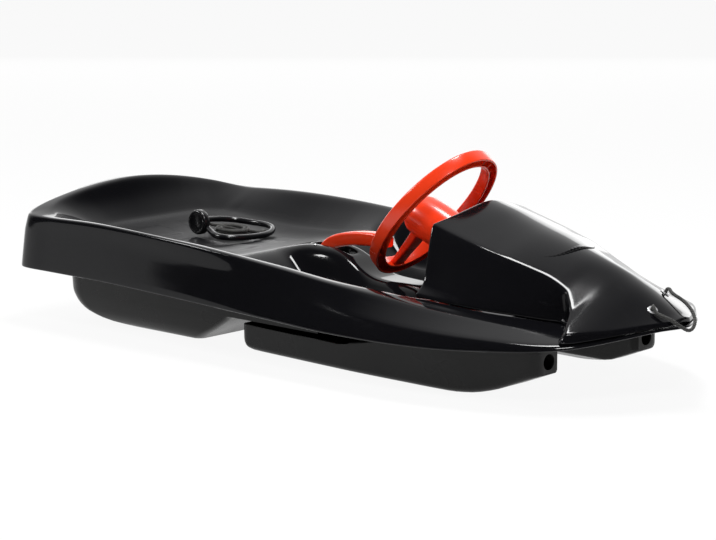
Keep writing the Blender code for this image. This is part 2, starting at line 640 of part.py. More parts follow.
def deck_z(x, y):
    """Height of the hull's deck between the mouth and the crease."""
    lines = [crossing(rounded(plan), x, 0)[1] for plan in (MOUTH_PLAN, RIM_PLAN, CREASE_PLAN)]
    heights = (curve(MOUTH_Z, x), curve(RIM_Z, x), curve(CREASE_Z, x))
    if y <= lines[0]:
        return heights[0]
    for k in (0, 1):
        if y <= lines[k + 1]:
            u = (y - lines[k]) / (lines[k + 1] - lines[k])
            return heights[k] + (heights[k + 1] - heights[k]) * u
    return heights[2]


# Axis of the steering column: down and forward, square to the wheel's plane
COLUMN_DIR = Vector((math.sin(WHEEL_TILT), 0.0, -math.cos(WHEEL_TILT)))
WHEEL_UP = Vector((math.cos(WHEEL_TILT), 0.0, math.sin(WHEEL_TILT)))
SIDE = Vector((0.0, 1.0, 0.0))
UP = Vector((0.0, 0.0, 1.0))
WHEEL_CENTRE = Vector((WHEEL_X, 0.0, WHEEL_Z))


def on_column(distance):
    return WHEEL_CENTRE + COLUMN_DIR * distance


def make_hull(mat):
    """The seat, floor, walls and skirt: one moulded sheet with holes and screw bosses."""
    hull = place("hull", sheet_mesh("hull", hull_points()), mat)
    thicken(hull, SHEET)
    for x, y in BOX_SCREWS:
        boss = turned("box_boss", (x, y, BOX_TUBE_TOP + 2 * GAP), UP,
                      ((0, BOSS_R), (floor_z(x, y) - SHEET / 2 - BOX_TUBE_TOP, BOSS_R)), 10)
        cut(hull, cutter("box_boss_guide", boss), "UNION")
    for x, y in BOX_SCREWS:
        hole = turned("box_bore", (x, y, BOX_TUBE_TOP - 0.01), UP,
                      ((0, SCREW_BORE), (0.01 + BOX_SCREW_GRIP, SCREW_BORE)), 8)
        cut(hull, cutter("box_bore_cut", hole))
    for x, y in COWL_SCREWS:
        hole = turned("cowl_bore", (x, y, deck_z(x, abs(y)) - 0.02), UP,
                      ((0, SCREW_HOLE), (0.04, SCREW_HOLE)), 8)
        cut(hull, cutter("cowl_bore_cut", hole))
    for y in (-BLOCK_SCREW_Y, BLOCK_SCREW_Y):
        hole = turned("block_bore", (BLOCK_SCREW_X, y, FLOOR_Z - 0.02), UP,
                      ((0, SCREW_HOLE), (0.04, SCREW_HOLE)), 8)
        cut(hull, cutter("block_bore_cut", hole))
    kingpin = turned("kingpin_bore", (KINGPIN_X, 0, FLOOR_Z - 0.02), UP,
                     ((0, KINGPIN_R + RUN_GAP), (0.04, KINGPIN_R + RUN_GAP)), 24)
    cut(hull, cutter("kingpin_bore_cut", kingpin))
    column = box_mesh("column_slot", (COLUMN_SLOT_X[0], -COLUMN_SLOT_Y, FLOOR_Z - 0.02),
                      (COLUMN_SLOT_X[1], COLUMN_SLOT_Y, FLOOR_Z + 0.02))
    cut(hull, cutter("column_slot_cut", column))
    lever = box_mesh("lever_slot", (LEVER_SLOT_X[0], -LEVER_SLOT_Y, LEVER_SLOT_Z[0]),
                     (LEVER_SLOT_X[1], LEVER_SLOT_Y, LEVER_SLOT_Z[1]))
    cut(hull, cutter("lever_slot_cut", lever))
    for x, y in bracket_rivet_places():
        hole = turned("rivet_bore", (x, y, BRACKET_TOP_Z - 0.01), UP,
                      ((0, RIVET_R + GAP), (0.03, RIVET_R + GAP)), 8)
        cut(hull, cutter("rivet_bore_cut", hole))
    drain = turned("drain_hole", DRAIN_HOLE, DRAIN_WAY, ((-0.01, DRAIN_R), (0.01, DRAIN_R)), 12)
    cut(hull, cutter("drain_hole_cut", drain))
    return hull


# Cowl

def cowl_top(x, y):
    """Height of the cowl's upper face at a place."""
    return curve(RIDGE_Z, x) - curve(HOOD_DROP, x) * (abs(y) / HOOD_UNIT) ** curve(HOOD_POWER, x)


def lip(x):
    """The hull's lip under the cowl's nose, as (half width, height)."""
    return crossing(rounded(CREASE_PLAN), x, 0)[1] - LIP_INSET, curve(CREASE_Z, x) + LIP_GAP


def cowl_half_section(x):
    """Points (x, y, z) from the ridge to the foot at one station."""
    lip_y, lip_z = lip(x)
    shoulder_y = min(curve(SHOULDER_Y, x), lip_y - LIP_STEP)
    shoulder = shoulder_y, cowl_top(x, shoulder_y)
    bow = REAR_BOW * (1.0 - smooth(COWL_STATIONS[0], REAR_BOW_END, x))
    top = [(x - bow * (k / 4) ** 2, shoulder_y * k / 4, cowl_top(x, shoulder_y * k / 4))
           for k in range(5)]
    open_foot = curve(RECESS_FOOT_Y, x)
    closing = min(1.0, max(0.0, (x - FOOT_CLOSING[0]) / (FOOT_CLOSING[1] - FOOT_CLOSING[0])))
    foot_y = open_foot + (lip_y - open_foot) * closing
    foot_z = deck_z(x, foot_y) + DECK_GAP + (LIP_GAP - DECK_GAP) * closing
    if closing >= 1.0:
        foot_z = lip_z
    height = shoulder[1] - foot_z
    step = smooth(RECESS_EDGE[0], RECESS_EDGE[1], x)
    walls = []
    for plan, share, level, lean in ((RECESS_MID_Y, 0.4, 0.62, 0.75),
                                     (RECESS_LOW_Y, 0.8, 0.16, 0.35)):
        straight = shoulder[0] + (foot_y - shoulder[0]) * share
        across = curve(plan, x) + (straight - curve(plan, x)) * step
        walls.append((x - bow * lean, across, foot_z + level * height))
    band = min(FOOT_BAND, height * 0.12)
    return top + walls + [(x, foot_y, foot_z + band), (x, foot_y, foot_z)]


def make_cowl(mat):
    rows = []
    for x in COWL_STATIONS:
        half = cowl_half_section(x)
        rows.append(half[::-1] + [(px, -y, z) for px, y, z in half[1:]])
    bm = bmesh.new()
    grid = [[bm.verts.new(p) for p in row] for row in rows]
    for near, far in zip(grid, grid[1:]):
        for k in range(len(near) - 1):
            bm.faces.new((near[k], near[k + 1], far[k + 1], far[k]))
    bm.faces.new(grid[-1])
    bmesh.ops.recalc_face_normals(bm, faces=bm.faces)
    top = max(bm.faces, key=lambda face: face.calc_center_median().z)
    if top.normal.z < 0:
        bmesh.ops.reverse_faces(bm, faces=bm.faces)
    cowl = place("front_cowl", to_mesh(bm, "front_cowl"), mat, 30.0)
    thicken(cowl, SHEET)
    for x, y in COWL_SCREWS:
        base = deck_z(x, abs(y)) + BOSS_LIFT[x]
        height = COWL_BOSS_HIGH.get(x, cowl_top(x, y) - base - NOSE_BOSS_SHORT)
        boss = turned("cowl_boss", (x, y, base), UP, ((0, COWL_BOSS_R), (height, COWL_BOSS_R)), 8)
        cut(cowl, cutter("cowl_boss_guide", boss), "UNION")
        hole = turned("cowl_boss_bore", (x, y, base - 0.005), UP,
                      ((0, SCREW_BORE), (0.005 + 0.007, SCREW_BORE)), 8)
        cut(cowl, cutter("cowl_boss_bore_cut", hole))
    for side in (-1, 1):
        hole = turned("eyelet_bore", eyelet_place(side), eyelet_axis(side),
                      ((-0.012, EYELET_TUBE_R + GAP), (0.012, EYELET_TUBE_R + GAP)), 16)
        cut(cowl, cutter("eyelet_bore_cut", hole))
    return cowl


def make_badge(mat):
    """A bare oval plate on the cowl, a little higher at its front."""
    bm = bmesh.new()
    rings = []
    for share in (0.35, 0.7, 1.0):
        ring = []
        for k in range(28):
            angle = 2 * math.pi * k / 28
            x = BADGE_X + BADGE_HALF_X * share * math.cos(angle)
            y = BADGE_HALF_Y * share * math.sin(angle)
            lift = BADGE_LIFT * smooth(BADGE_X, BADGE_X + BADGE_HALF_X, x)
            ring.append(bm.verts.new((x, y, cowl_top(x, y) + BADGE_GAP + BADGE_THICK + lift)))
        rings.append(ring)
    centre = bm.verts.new((BADGE_X, 0, cowl_top(BADGE_X, 0) + BADGE_GAP + BADGE_THICK))
    for k in range(28):
        after = (k + 1) % 28
        bm.faces.new((centre, rings[0][k], rings[0][after]))
        for inner, outer in zip(rings, rings[1:]):
            bm.faces.new((inner[k], outer[k], outer[after], inner[after]))
    badge = place("badge_plate", to_mesh(bm, "badge_plate"), mat)
    thicken(badge, BADGE_THICK)
    return badge


def eyelet_place(side):
    x, y = EYELETS[side]
    return Vector((x, side * y, cowl_top(x, y)))


def eyelet_axis(side):
    """The cowl's own normal at the eyelet."""
    x, y = EYELETS[side]
    step = 0.002
    dx = (cowl_top(x + step, y) - cowl_top(x - step, y)) / (2 * step)
    dy = (cowl_top(x, y + step) - cowl_top(x, y - step)) / (2 * step)
    return Vector((-dx, -dy * side, 1.0)).normalized()


# Runner box

def box_ring(z, inset):
    """Plan outline of the runner box at one height, with round corners."""
    front = curve(BOX_FRONT, z) - inset
    rear = curve(BOX_REAR, z) + inset
    half = curve(BOX_HALF, z) - inset
    points = []
    corners = ((front, -half, BOX_FRONT_CORNER, -90), (front, half, BOX_FRONT_CORNER, 0),
               (rear, half, BOX_CORNER, 90), (rear, -half, BOX_CORNER, 180))
    for x, y, radius, start in corners:
        radius = max(0.004, radius - inset)
        cx = x - math.copysign(radius, x - (front + rear) / 2)
        cy = y - math.copysign(radius, y)
        for k in range(6):
            angle = math.radians(start + 90 * k / 5)
            points.append((cx + radius * math.cos(angle), cy + radius * math.sin(angle),
                           z + inset if z < BOX_TOP_Z else z + 3 * inset))
    return points


def make_box(mat):
    """The hollow runner box that carries the rear, with deep screw wells."""
    box = place("rear_runner_box",
                loft_mesh("rear_runner_box", [box_ring(z, 0.0) for z in BOX_LEVELS]), mat, 40.0)
    hollow = loft_mesh("box_hollow", [box_ring(z, SHEET) for z in BOX_LEVELS])
    cut(box, cutter("box_hollow_cut", hollow))
    slot = box_mesh("claw_slot", (CLAW_SLOT_X[0], -CLAW_SLOT_Y, -0.01),
                    (CLAW_SLOT_X[1], CLAW_SLOT_Y, BOX_TOP_Z + 0.01))
    cut(box, cutter("claw_slot_cut", slot))
    for low, high in (RAIL_Y, (-RAIL_Y[1], -RAIL_Y[0])):
        rail = box_mesh("box_rail", (RAIL_X[0], low, RAIL_Z[0]), (RAIL_X[1], high, RAIL_Z[1]))
        cut(box, cutter("box_rail_guide", rail), "UNION")
    for x, y in BOX_SCREWS:
        sleeve = turned("box_tube", (x, y, SHEET / 2), UP,
                        ((0, TUBE_R), (BOX_TUBE_TOP - SHEET / 2, TUBE_R)), 14)
        cut(box, cutter("box_tube_guide", sleeve), "UNION")
    for x, y in BOX_SCREWS:
        well = turned("box_well", (x, y, -0.01), UP,
                      ((0, WELL_R), (0.01 + BOX_TUBE_TOP - WELL_ROOF, WELL_R)), 14)
        cut(box, cutter("box_well_cut", well))
        hole = turned("box_tube_bore", (x, y, 0.05), UP, ((0, SCREW_HOLE), (0.10, SCREW_HOLE)), 8)
        cut(box, cutter("box_tube_bore_cut", hole))
    return box


def screw(name, x, y, seat, grip, mat, upward=True, head=0.0042):
    """A pan head screw whose head bears on a face at height seat."""
    way = UP if upward else -UP
    profile = ((-0.0026, head * 0.65), (-0.0014, head), (-GAP, head), (-GAP, SCREW_R),
               (grip, SCREW_R), (grip + 0.0015, SCREW_R * 0.4))
    return place(name, turned(name, (x, y, seat), way, profile, 8), mat)


# Front ski

def ski_half(x, bridge):
    """Points (y, z) of the ski's outline at one station, from its outer top to the middle."""
    low = curve(SKI_RISE, x)
    inner = max(low, SKI_INNER_RISE)
    ends = min(x - SKI_REAR_X, SKI_FRONT_X - x)
    corner = SKI_CORNER - math.sqrt(max(0.0, SKI_CORNER ** 2 - max(0.0, SKI_CORNER - ends) ** 2))
    outer = curve(SKI_OUTER_Y, x) - corner
    middle = curve(SKI_MID_TOP, x)
    points = [(SKI_INNER_Y + BRIDGE_SHOULDER, middle), (outer, curve(SKI_SIDE_TOP, x))]
    bridge = min(bridge, middle - BRIDGE_THICK)
    for k in range(4):
        angle = math.radians(90 * k / 3)
        points.append((outer - SKI_EDGE + SKI_EDGE * math.cos(angle),
                       low + SKI_EDGE - SKI_EDGE * math.sin(angle)))
    return points + [(SKI_INNER_Y + 0.004, inner), (SKI_INNER_Y, inner + 0.004),
                     (SKI_INNER_Y - 0.003, bridge)]


def runner_hollow(side):
    """The hollow inside one runner, open at the top."""
    inner = SKI_INNER_Y + SKI_SHEET
    rings = []
    for x in (SKI_REAR_X + SKI_SHEET, -0.14, -0.12, 0.0, 0.13, 0.24, 0.29, 0.33, 0.37, 0.41,
              SKI_FRONT_X - SKI_SHEET):
        low = curve(SKI_RISE, x) + SKI_SHEET
        raised = max(low, SKI_INNER_RISE + SKI_SHEET)
        ends = min(x - SKI_REAR_X, SKI_FRONT_X - x) - SKI_SHEET
        outer = curve(SKI_OUTER_Y, x) - SKI_SHEET - max(0.0, 0.008 - ends) / 2
        ring = [(inner, SKI_TOP_Z + 0.01), (inner, raised + 0.001), (inner + 0.002, raised),
                (outer - 0.006, low), (outer - 0.0015, low + 0.002), (outer, low + 0.007),
                (outer, SKI_TOP_Z + 0.01)]
        rings.append([(x, y * side, z) for y, z in ring])
    return loft_mesh("runner_hollow", rings)


def make_ski(mat):
    """The twin runner ski: two hollow runners joined by a bridge with a lower tray in front."""
    stations = (SKI_REAR_X, -0.1505, -0.146, -0.140, -0.125, -0.09, 0.0, 0.07, 0.085, 0.10,
                0.112, 0.14, 0.17, 0.21, TRAY_X - 0.0045, TRAY_X, 0.29, 0.32, 0.35, 0.38,
                0.41, 0.430, 0.4385, 0.4445, SKI_FRONT_X)
    rings = []
    for x in stations:
        half = ski_half(x, TRAY_UNDER_Z if x >= TRAY_X else BRIDGE_UNDER_Z)
        rings.append([(x, y, z) for y, z in half] + [(x, -y, z) for y, z in reversed(half)])
    ski = place("front_ski", loft_mesh("front_ski", rings), mat, 40.0, (KINGPIN_X, 0, 0))
    gap = box_mesh("ski_gap", (SKI_REAR_X - 0.01, -SKI_GAP_Y, -0.01),
                   (SKI_BRIDGE_REAR, SKI_GAP_Y, SKI_TOP_Z + 0.01))
    cut(ski, cutter("ski_gap_cut", gap))
    tray = box_mesh("ski_tray", (TRAY_X + SKI_SHEET, -SKI_INNER_Y + 0.002, TRAY_TOP_Z),
                    (SKI_FRONT_X + 0.01, SKI_INNER_Y - 0.002, SKI_TOP_Z + 0.01))
    cut(ski, cutter("ski_tray_cut", tray))
    front = box_mesh("ski_front_gap", (TRAY_FRONT, -SKI_GAP_Y, -0.01),
                     (SKI_FRONT_X + 0.01, SKI_GAP_Y, SKI_TOP_Z + 0.01))
    cut(ski, cutter("ski_front_gap_cut", front))
    for side in (-1, 1):
        cut(ski, cutter("runner_hollow_cut", runner_hollow(side)))
        rings = []
        for x in (SKI_FRONT_X - 0.02, SKI_FRONT_X + 0.02):
            rings.append([(x, side * (SKI_MOUTH_Y + SKI_MOUTH_HALF[0] * math.cos(a)),
                           SKI_MOUTH_Z + SKI_MOUTH_HALF[1] * math.sin(a))
                          for a in (2 * math.pi * (k + 0.5) / 16 for k in range(16))])
        cut(ski, cutter("runner_mouth_cut", loft_mesh("runner_mouth", rings)))
    bore = KINGPIN_R + RUN_GAP
    hole = turned("ski_bore", (KINGPIN_X, 0, 0.05), UP, ((0, bore), (0.06, bore)), 24)
    cut(ski, cutter("ski_bore_cut", hole))
    slot = box_mesh("pin_slot", (PIN_SLOT_X[0], -PIN_SLOT_Y, TRAY_UNDER_Z - 0.02),
                    (PIN_SLOT_X[1], PIN_SLOT_Y, TRAY_TOP_Z + 0.02))
    cut(ski, cutter("pin_slot_cut", slot))
    return ski


# Steering

def wheel_point(up, across, along):
    """A point in the wheel's own frame: up its long way, across it, along the column."""
    return WHEEL_CENTRE + WHEEL_UP * up + SIDE * across + COLUMN_DIR * along


def hub_body(name, shrink):
    """The hub's round body along its middle line. Shrunk, it is the hollow inside it."""
    rings = []
    for k, (x, z, radius) in enumerate(HUB_LINE):
        before, after = HUB_LINE[max(0, k - 1)], HUB_LINE[min(len(HUB_LINE) - 1, k + 1)]
        way = Vector((after[0] - before[0], 0, after[1] - before[1])).normalized()
        normal = Vector((-way.z, 0, way.x))
        move = way * shrink if k < len(HUB_LINE) - 1 else way * (2 * shrink)
        rings.append([Vector((x, 0, z)) + move + (normal * math.cos(a) + SIDE * math.sin(a))
                      * max(0.002, radius - shrink)
                      for a in (2 * math.pi * j / 24 for j in range(24))])
    return loft_mesh(name, rings)


def make_wheel(mat):
    """The oval wheel: a channel section rim, one lower spoke and a round hub."""
    half = WHEEL_DEPTH / 2
    outer, inner = WHEEL_RADIAL / 2, -WHEEL_RADIAL / 2
    section = [(outer - 0.003, -half), (outer, -half + 0.003), (outer, half),
               (outer - WHEEL_WALL, half), (outer - WHEEL_WALL, -half + WHEEL_WALL),
               (inner + WHEEL_WALL, -half + WHEEL_WALL), (inner + WHEEL_WALL, half),
               (inner, half), (inner, -half + 0.003), (inner + 0.003, -half)]
    rings = []
    high = WHEEL_HALF_HIGH - WHEEL_RADIAL / 2
    wide = WHEEL_HALF_WIDE - WHEEL_RADIAL / 2
    for k in range(WHEEL_STEPS):
        angle = 2 * math.pi * k / WHEEL_STEPS
        slope = Vector((math.cos(angle) / high, math.sin(angle) / wide)).normalized()
        rings.append([wheel_point(high * math.cos(angle) + slope.x * out,
                                  wide * math.sin(angle) + slope.y * out, along)
                      for out, along in section])
    wheel = place("steering_wheel", loft_mesh("steering_wheel", rings, closed=True), mat, 35.0,
                  WHEEL_CENTRE)
    spoke = []
    for up, along, thick, wide_half in SPOKE_LINE:
        ring = []
        for across, step in ((-1, -1), (1, -1), (1, 1), (-1, 1)):
            ring.append(wheel_point(up, across * wide_half, along + step * thick / 2))
        spoke.append(ring)
    cut(wheel, cutter("spoke_guide", loft_mesh("spoke", spoke)), "UNION")
    cut(wheel, cutter("hub_guide", hub_body("hub", 0.0)), "UNION")
    cut(wheel, cutter("hub_hollow_cut", hub_body("hub_hollow", WHEEL_WALL)))
    sleeve = turned("hub_sleeve", on_column(HUB_SLEEVE[0]), COLUMN_DIR,
                    ((0, COLUMN_R + 0.0045), (HUB_SLEEVE[1] - HUB_SLEEVE[0], COLUMN_R + 0.0045)), 24)
    cut(wheel, cutter("hub_sleeve_guide", sleeve), "UNION")
    bore = turned("hub_bore", on_column(COLUMN_TOP - SEAT_GAP), COLUMN_DIR,
                  ((0, COLUMN_R + GAP), (0.15, COLUMN_R + GAP)), 24)
    cut(wheel, cutter("hub_bore_cut", bore))
    for side in (SIDE, -SIDE):
        boss = turned("bolt_boss", on_column(HUB_BOLT_AT) + side * (HUB_R - 0.002), -side,
                      ((0, BOLT_BOSS_R), (HUB_R - COLUMN_R - 0.004, BOLT_BOSS_R)), 12)
        cut(wheel, cutter("bolt_boss_guide", boss), "UNION")
    cross = turned("bolt_bore", on_column(HUB_BOLT_AT) - SIDE * 0.06, SIDE,
                   ((0, HUB_BOLT_R + GAP), (0.12, HUB_BOLT_R + GAP)), 16)
    cut(wheel, cutter("bolt_bore_cut", cross))
    return wheel


def make_column(mat):
    """The steel column with its crank plate and pin, bent up in one piece."""
    column = place("steering_column",
                   turned("steering_column", on_column(COLUMN_TOP), COLUMN_DIR,
                          ((0, COLUMN_R - 0.001), (0.001, COLUMN_R),
                           (CRANK_FROM + CRANK_THICK / 2 - COLUMN_TOP, COLUMN_R)), 24),
                   mat, 35.0, WHEEL_CENTRE)
    plate = []
    for along in (CRANK_FROM, CRANK_FROM + CRANK_THICK):
        ring = []
        for k in range(13):
            angle = math.radians(-90 + 180 * k / 12)
            ring.append(on_column(along) + SIDE * (CRANK_HUB_R * math.sin(angle))
                        + WHEEL_UP * (CRANK_HUB_R * math.cos(angle)))
        for k in range(9):
            angle = math.radians(90 + 180 * k / 8)
            ring.append(on_column(along) + SIDE * (CRANK_BOSS_R * math.sin(angle))
                        + WHEEL_UP * (CRANK_BOSS_R * math.cos(angle) - CRANK_THROW))
        plate.append(ring)
    cut(column, cutter("crank_plate_guide", loft_mesh("crank_plate", plate)), "UNION")
    start = on_column(CRANK_FROM + CRANK_THICK / 2) - WHEEL_UP * CRANK_THROW
    pin = turned("crank_pin", start, COLUMN_DIR,
                 ((0, PIN_R), (PIN_LENGTH - 0.001, PIN_R), (PIN_LENGTH, PIN_R - 0.001)), 20)
    cut(column, cutter("crank_pin_guide", pin), "UNION")
    cross = turned("column_bore", on_column(HUB_BOLT_AT) - SIDE * 0.02, SIDE,
                   ((0, HUB_BOLT_R + GAP), (0.04, HUB_BOLT_R + GAP)), 16)
    cut(column, cutter("column_bore_cut", cross))
    return column


def hexagon_bolt(name, start, way, grip, radius, across, mat, origin=None):
    """A hexagon head at a face and its shank running along a direction."""
    head = turned(name + "_head", Vector(start) - Vector(way).normalized() * (radius * 1.3), way,
                  ((0, across * 0.9), (radius * 0.25, across), (radius * 1.3 - GAP, across)), 6)
    shank = turned(name + "_shank", Vector(start) - Vector(way).normalized() * radius, way,
                   ((0, radius), (grip + radius - 0.0008, radius), (grip + radius, radius * 0.8)), 20)
    bolt = place(name, head, mat, 30.0, origin)
    cut(bolt, cutter(name + "_shank_guide", shank), "UNION")
    return bolt


def hexagon_nut(name, start, way, bore, across, thick, mat, origin=None):
    """A plain hexagon nut: a six-sided block with a round bore."""
    block = turned(name, start, way, ((0, across * 0.93), (0.0006, across),
                                      (thick - 0.0006, across), (thick, across * 0.93)), 6)
    nut = place(name, block, mat, 30.0, origin)
    hole = turned(name + "_bore", Vector(start) - Vector(way).normalized() * 0.01, way,
                  ((0, bore), (thick + 0.02, bore)), 20)
    cut(nut, cutter(name + "_bore_cut", hole))
    return nut


def washer(name, z, thick, inner, outer, mat, sides=20):
    profile = ((0, inner), (0, outer), (thick, outer), (thick, inner))
    return place(name, ring_solid(name, (KINGPIN_X, 0, z), UP, profile, sides), mat)


def make_steering(gloss_red, satin, steel):
    make_wheel(gloss_red)
    make_column(steel)
    hexagon_bolt("wheel_bolt", on_column(HUB_BOLT_AT) - SIDE * HUB_R, SIDE, 2 * HUB_R + 0.008,
                 HUB_BOLT_R, 0.0058, steel, WHEEL_CENTRE)
    hexagon_nut("wheel_nut", on_column(HUB_BOLT_AT) + SIDE * (HUB_R + GAP), SIDE,
                HUB_BOLT_R + GAP, 0.0058, 0.005, steel, WHEEL_CENTRE)
    collar = ring_solid("column_collar", on_column(COLLAR_AT), COLUMN_DIR,
                        ((0, COLUMN_R + GAP), (0, 0.0125), (0.001, 0.0135),
                         (COLLAR_THICK - 0.001, 0.0135), (COLLAR_THICK, 0.0125),
                         (COLLAR_THICK, COLUMN_R + GAP)), 20)
    place("column_collar", collar, satin, 35.0, WHEEL_CENTRE)
    block = place("column_bearing_block",
                  box_mesh("column_bearing_block", (BLOCK_X[0], -BLOCK_HALF_Y, FLOOR_Z + SEAT_GAP),
                           (BLOCK_X[1], BLOCK_HALF_Y, BLOCK_TOP_Z)), satin, 35.0)
    flange = box_mesh("block_flange", (BLOCK_X[0] + 0.004, -BLOCK_FLANGE_Y, FLOOR_Z + SEAT_GAP),
                      (BLOCK_X[1] - 0.004, BLOCK_FLANGE_Y, FLOOR_Z + SEAT_GAP + BLOCK_FLANGE))
    cut(block, cutter("block_flange_guide", flange), "UNION")
    bore = turned("block_bore_big", on_column(0.10), COLUMN_DIR,
                  ((0, COLUMN_R + RUN_GAP), (0.12, COLUMN_R + RUN_GAP)), 24)
    cut(block, cutter("block_bore_big_cut", bore))
    for k, y in enumerate((-BLOCK_SCREW_Y, BLOCK_SCREW_Y)):
        hole = turned("flange_bore", (BLOCK_SCREW_X, y, 0.08), UP,
                      ((0, SCREW_HOLE), (0.04, SCREW_HOLE)), 8)
        cut(block, cutter(f"flange_bore_cut_{k}", hole))
        top = FLOOR_Z + SEAT_GAP + BLOCK_FLANGE
        screw(f"block_screw_{k + 1}", BLOCK_SCREW_X, y, top + GAP, 0.0125, steel, upward=False)


def make_kingpin(satin, steel):
    """The bolt that the ski turns on, with its washers, disc and nut."""
    hexagon_bolt("kingpin_bolt", (KINGPIN_X, 0, WASHER_LOW_Z - GAP), UP,
                 KINGPIN_TOP_Z - WASHER_LOW_Z, KINGPIN_R, 0.0105, steel)
    bore = KINGPIN_R + GAP
    washer("kingpin_lower_washer", WASHER_LOW_Z, BRIDGE_UNDER_Z - RUN_GAP - WASHER_LOW_Z, bore,
           0.0125, steel)
    washer("turntable_disc", SKI_TOP_Z + RUN_GAP, FLOOR_Z - SHEET - GAP - SKI_TOP_Z - RUN_GAP, bore,
           TURNTABLE_R, satin, 32)
    washer("kingpin_upper_washer", FLOOR_Z + SEAT_GAP, WASHER_THICK, bore, 0.0125, steel)
    hexagon_nut("kingpin_nut", (KINGPIN_X, 0, FLOOR_Z + SEAT_GAP + WASHER_THICK + GAP), UP,
                bore, 0.0105, 0.0085, steel)


# Brake

PIVOT = Vector((BRAKE_X, 0.0, BRAKE_Z))
CLAW_WAY = Vector(CLAW_DIR).normalized()
CLAW_DOWN = Vector((-CLAW_WAY.z, 0.0, CLAW_WAY.x))      # square to the claw, down and forward


def make_lever(mat):
    """The red lever: pivot boss, curved handle and a tongue that carries the claw."""
    rings = []
    for k, (x, z, thick) in enumerate(LEVER_LINE):
        before = LEVER_LINE[max(0, k - 1)]
        after = LEVER_LINE[min(len(LEVER_LINE) - 1, k + 1)]
        way = Vector((after[0] - before[0], 0, after[1] - before[1])).normalized()
        normal = Vector((-way.z, 0, way.x))
        half, wide, chamfer = thick / 2, LEVER_HALF_Y, 0.004
        outline = [(wide - chamfer, half), (wide, half - chamfer), (wide, chamfer - half),
                   (wide - chamfer, -half), (chamfer - wide, -half), (-wide, chamfer - half),
                   (-wide, half - chamfer), (chamfer - wide, half)]
        rings.append([Vector((x, 0, z)) + SIDE * y + normal * n for y, n in outline])
    lever = place("brake_lever", loft_mesh("brake_lever", rings), mat, 40.0, PIVOT)
    boss = turned("lever_boss", PIVOT - SIDE * LEVER_HALF_Y, SIDE,
                  ((0, 0.0115), (2 * LEVER_HALF_Y, 0.0115)), 28)
    cut(lever, cutter("lever_boss_guide", boss), "UNION")
    tongue = []
    for distance in (0.0, TONGUE_LENGTH):
        tongue.append([PIVOT + CLAW_WAY * distance + SIDE * y + CLAW_DOWN * n
                       for y, n in ((CLAW_HALF_Y, -TONGUE_HALF), (CLAW_HALF_Y, TONGUE_HALF),
                                    (-CLAW_HALF_Y, TONGUE_HALF), (-CLAW_HALF_Y, -TONGUE_HALF))])
    cut(lever, cutter("lever_tongue_guide", loft_mesh("lever_tongue", tongue)), "UNION")
    pin = turned("lever_bore", PIVOT - SIDE * 0.03, SIDE,
                 ((0, BRAKE_PIN_R + RUN_GAP), (0.06, BRAKE_PIN_R + RUN_GAP)), 24)
    cut(lever, cutter("lever_bore_cut", pin))
    for k, distance in enumerate(CLAW_RIVETS):
        hole = turned("claw_rivet_bore", PIVOT + CLAW_WAY * distance - CLAW_DOWN * 0.02, CLAW_DOWN,
                      ((0, RIVET_R + GAP), (0.04, RIVET_R + GAP)), 8)
        cut(lever, cutter(f"lever_rivet_cut_{k}", hole))
    return lever


def make_claw(mat):
    """The steel claw: a flat bar that ends in three teeth."""
    low, high = TONGUE_HALF + GAP, TONGUE_HALF + GAP + CLAW_THICK
    outline = [(CLAW_START, -CLAW_HALF_Y), (CLAW_START, CLAW_HALF_Y),
               (CLAW_REACH - 0.022, CLAW_HALF_Y), (CLAW_REACH - 0.014, 0.017),
               (CLAW_REACH, 0.014), (CLAW_REACH - 0.009, 0.008), (CLAW_REACH, 0.0),
               (CLAW_REACH - 0.009, -0.008), (CLAW_REACH, -0.014),
               (CLAW_REACH - 0.014, -0.017), (CLAW_REACH - 0.022, -CLAW_HALF_Y)]
    rings = [[PIVOT + CLAW_WAY * along + SIDE * y + CLAW_DOWN * depth for along, y in outline]
             for depth in (low, high)]
    claw = place("brake_claw", loft_mesh("brake_claw", rings), mat, 30.0, PIVOT)
    for k, distance in enumerate(CLAW_RIVETS):
        hole = turned("claw_bore", PIVOT + CLAW_WAY * distance - CLAW_DOWN * 0.02, CLAW_DOWN,
                      ((0, RIVET_R + GAP), (0.04, RIVET_R + GAP)), 8)
        cut(claw, cutter(f"claw_bore_cut_{k}", hole))
    return claw


def rivet(name, start, way, grip, mat, origin=None):
    """A rivet with a domed head at each end of its grip."""
    profile = ((-0.0016, 0.0018), (-GAP, 0.0034), (-GAP, RIVET_R), (grip + GAP, RIVET_R),
               (grip + GAP, 0.0030), (grip + 0.0014, 0.0016))
    return place(name, turned(name, start, way, profile, 8), mat, 40.0, origin)


def bracket_rivet_places():
    y = BRACKET_Y + BRACKET_THICK + BRACKET_FLANGE / 2
    x = (BRACKET_X[0] + BRACKET_X[1]) / 2
    return [(x, -y), (x, y)]


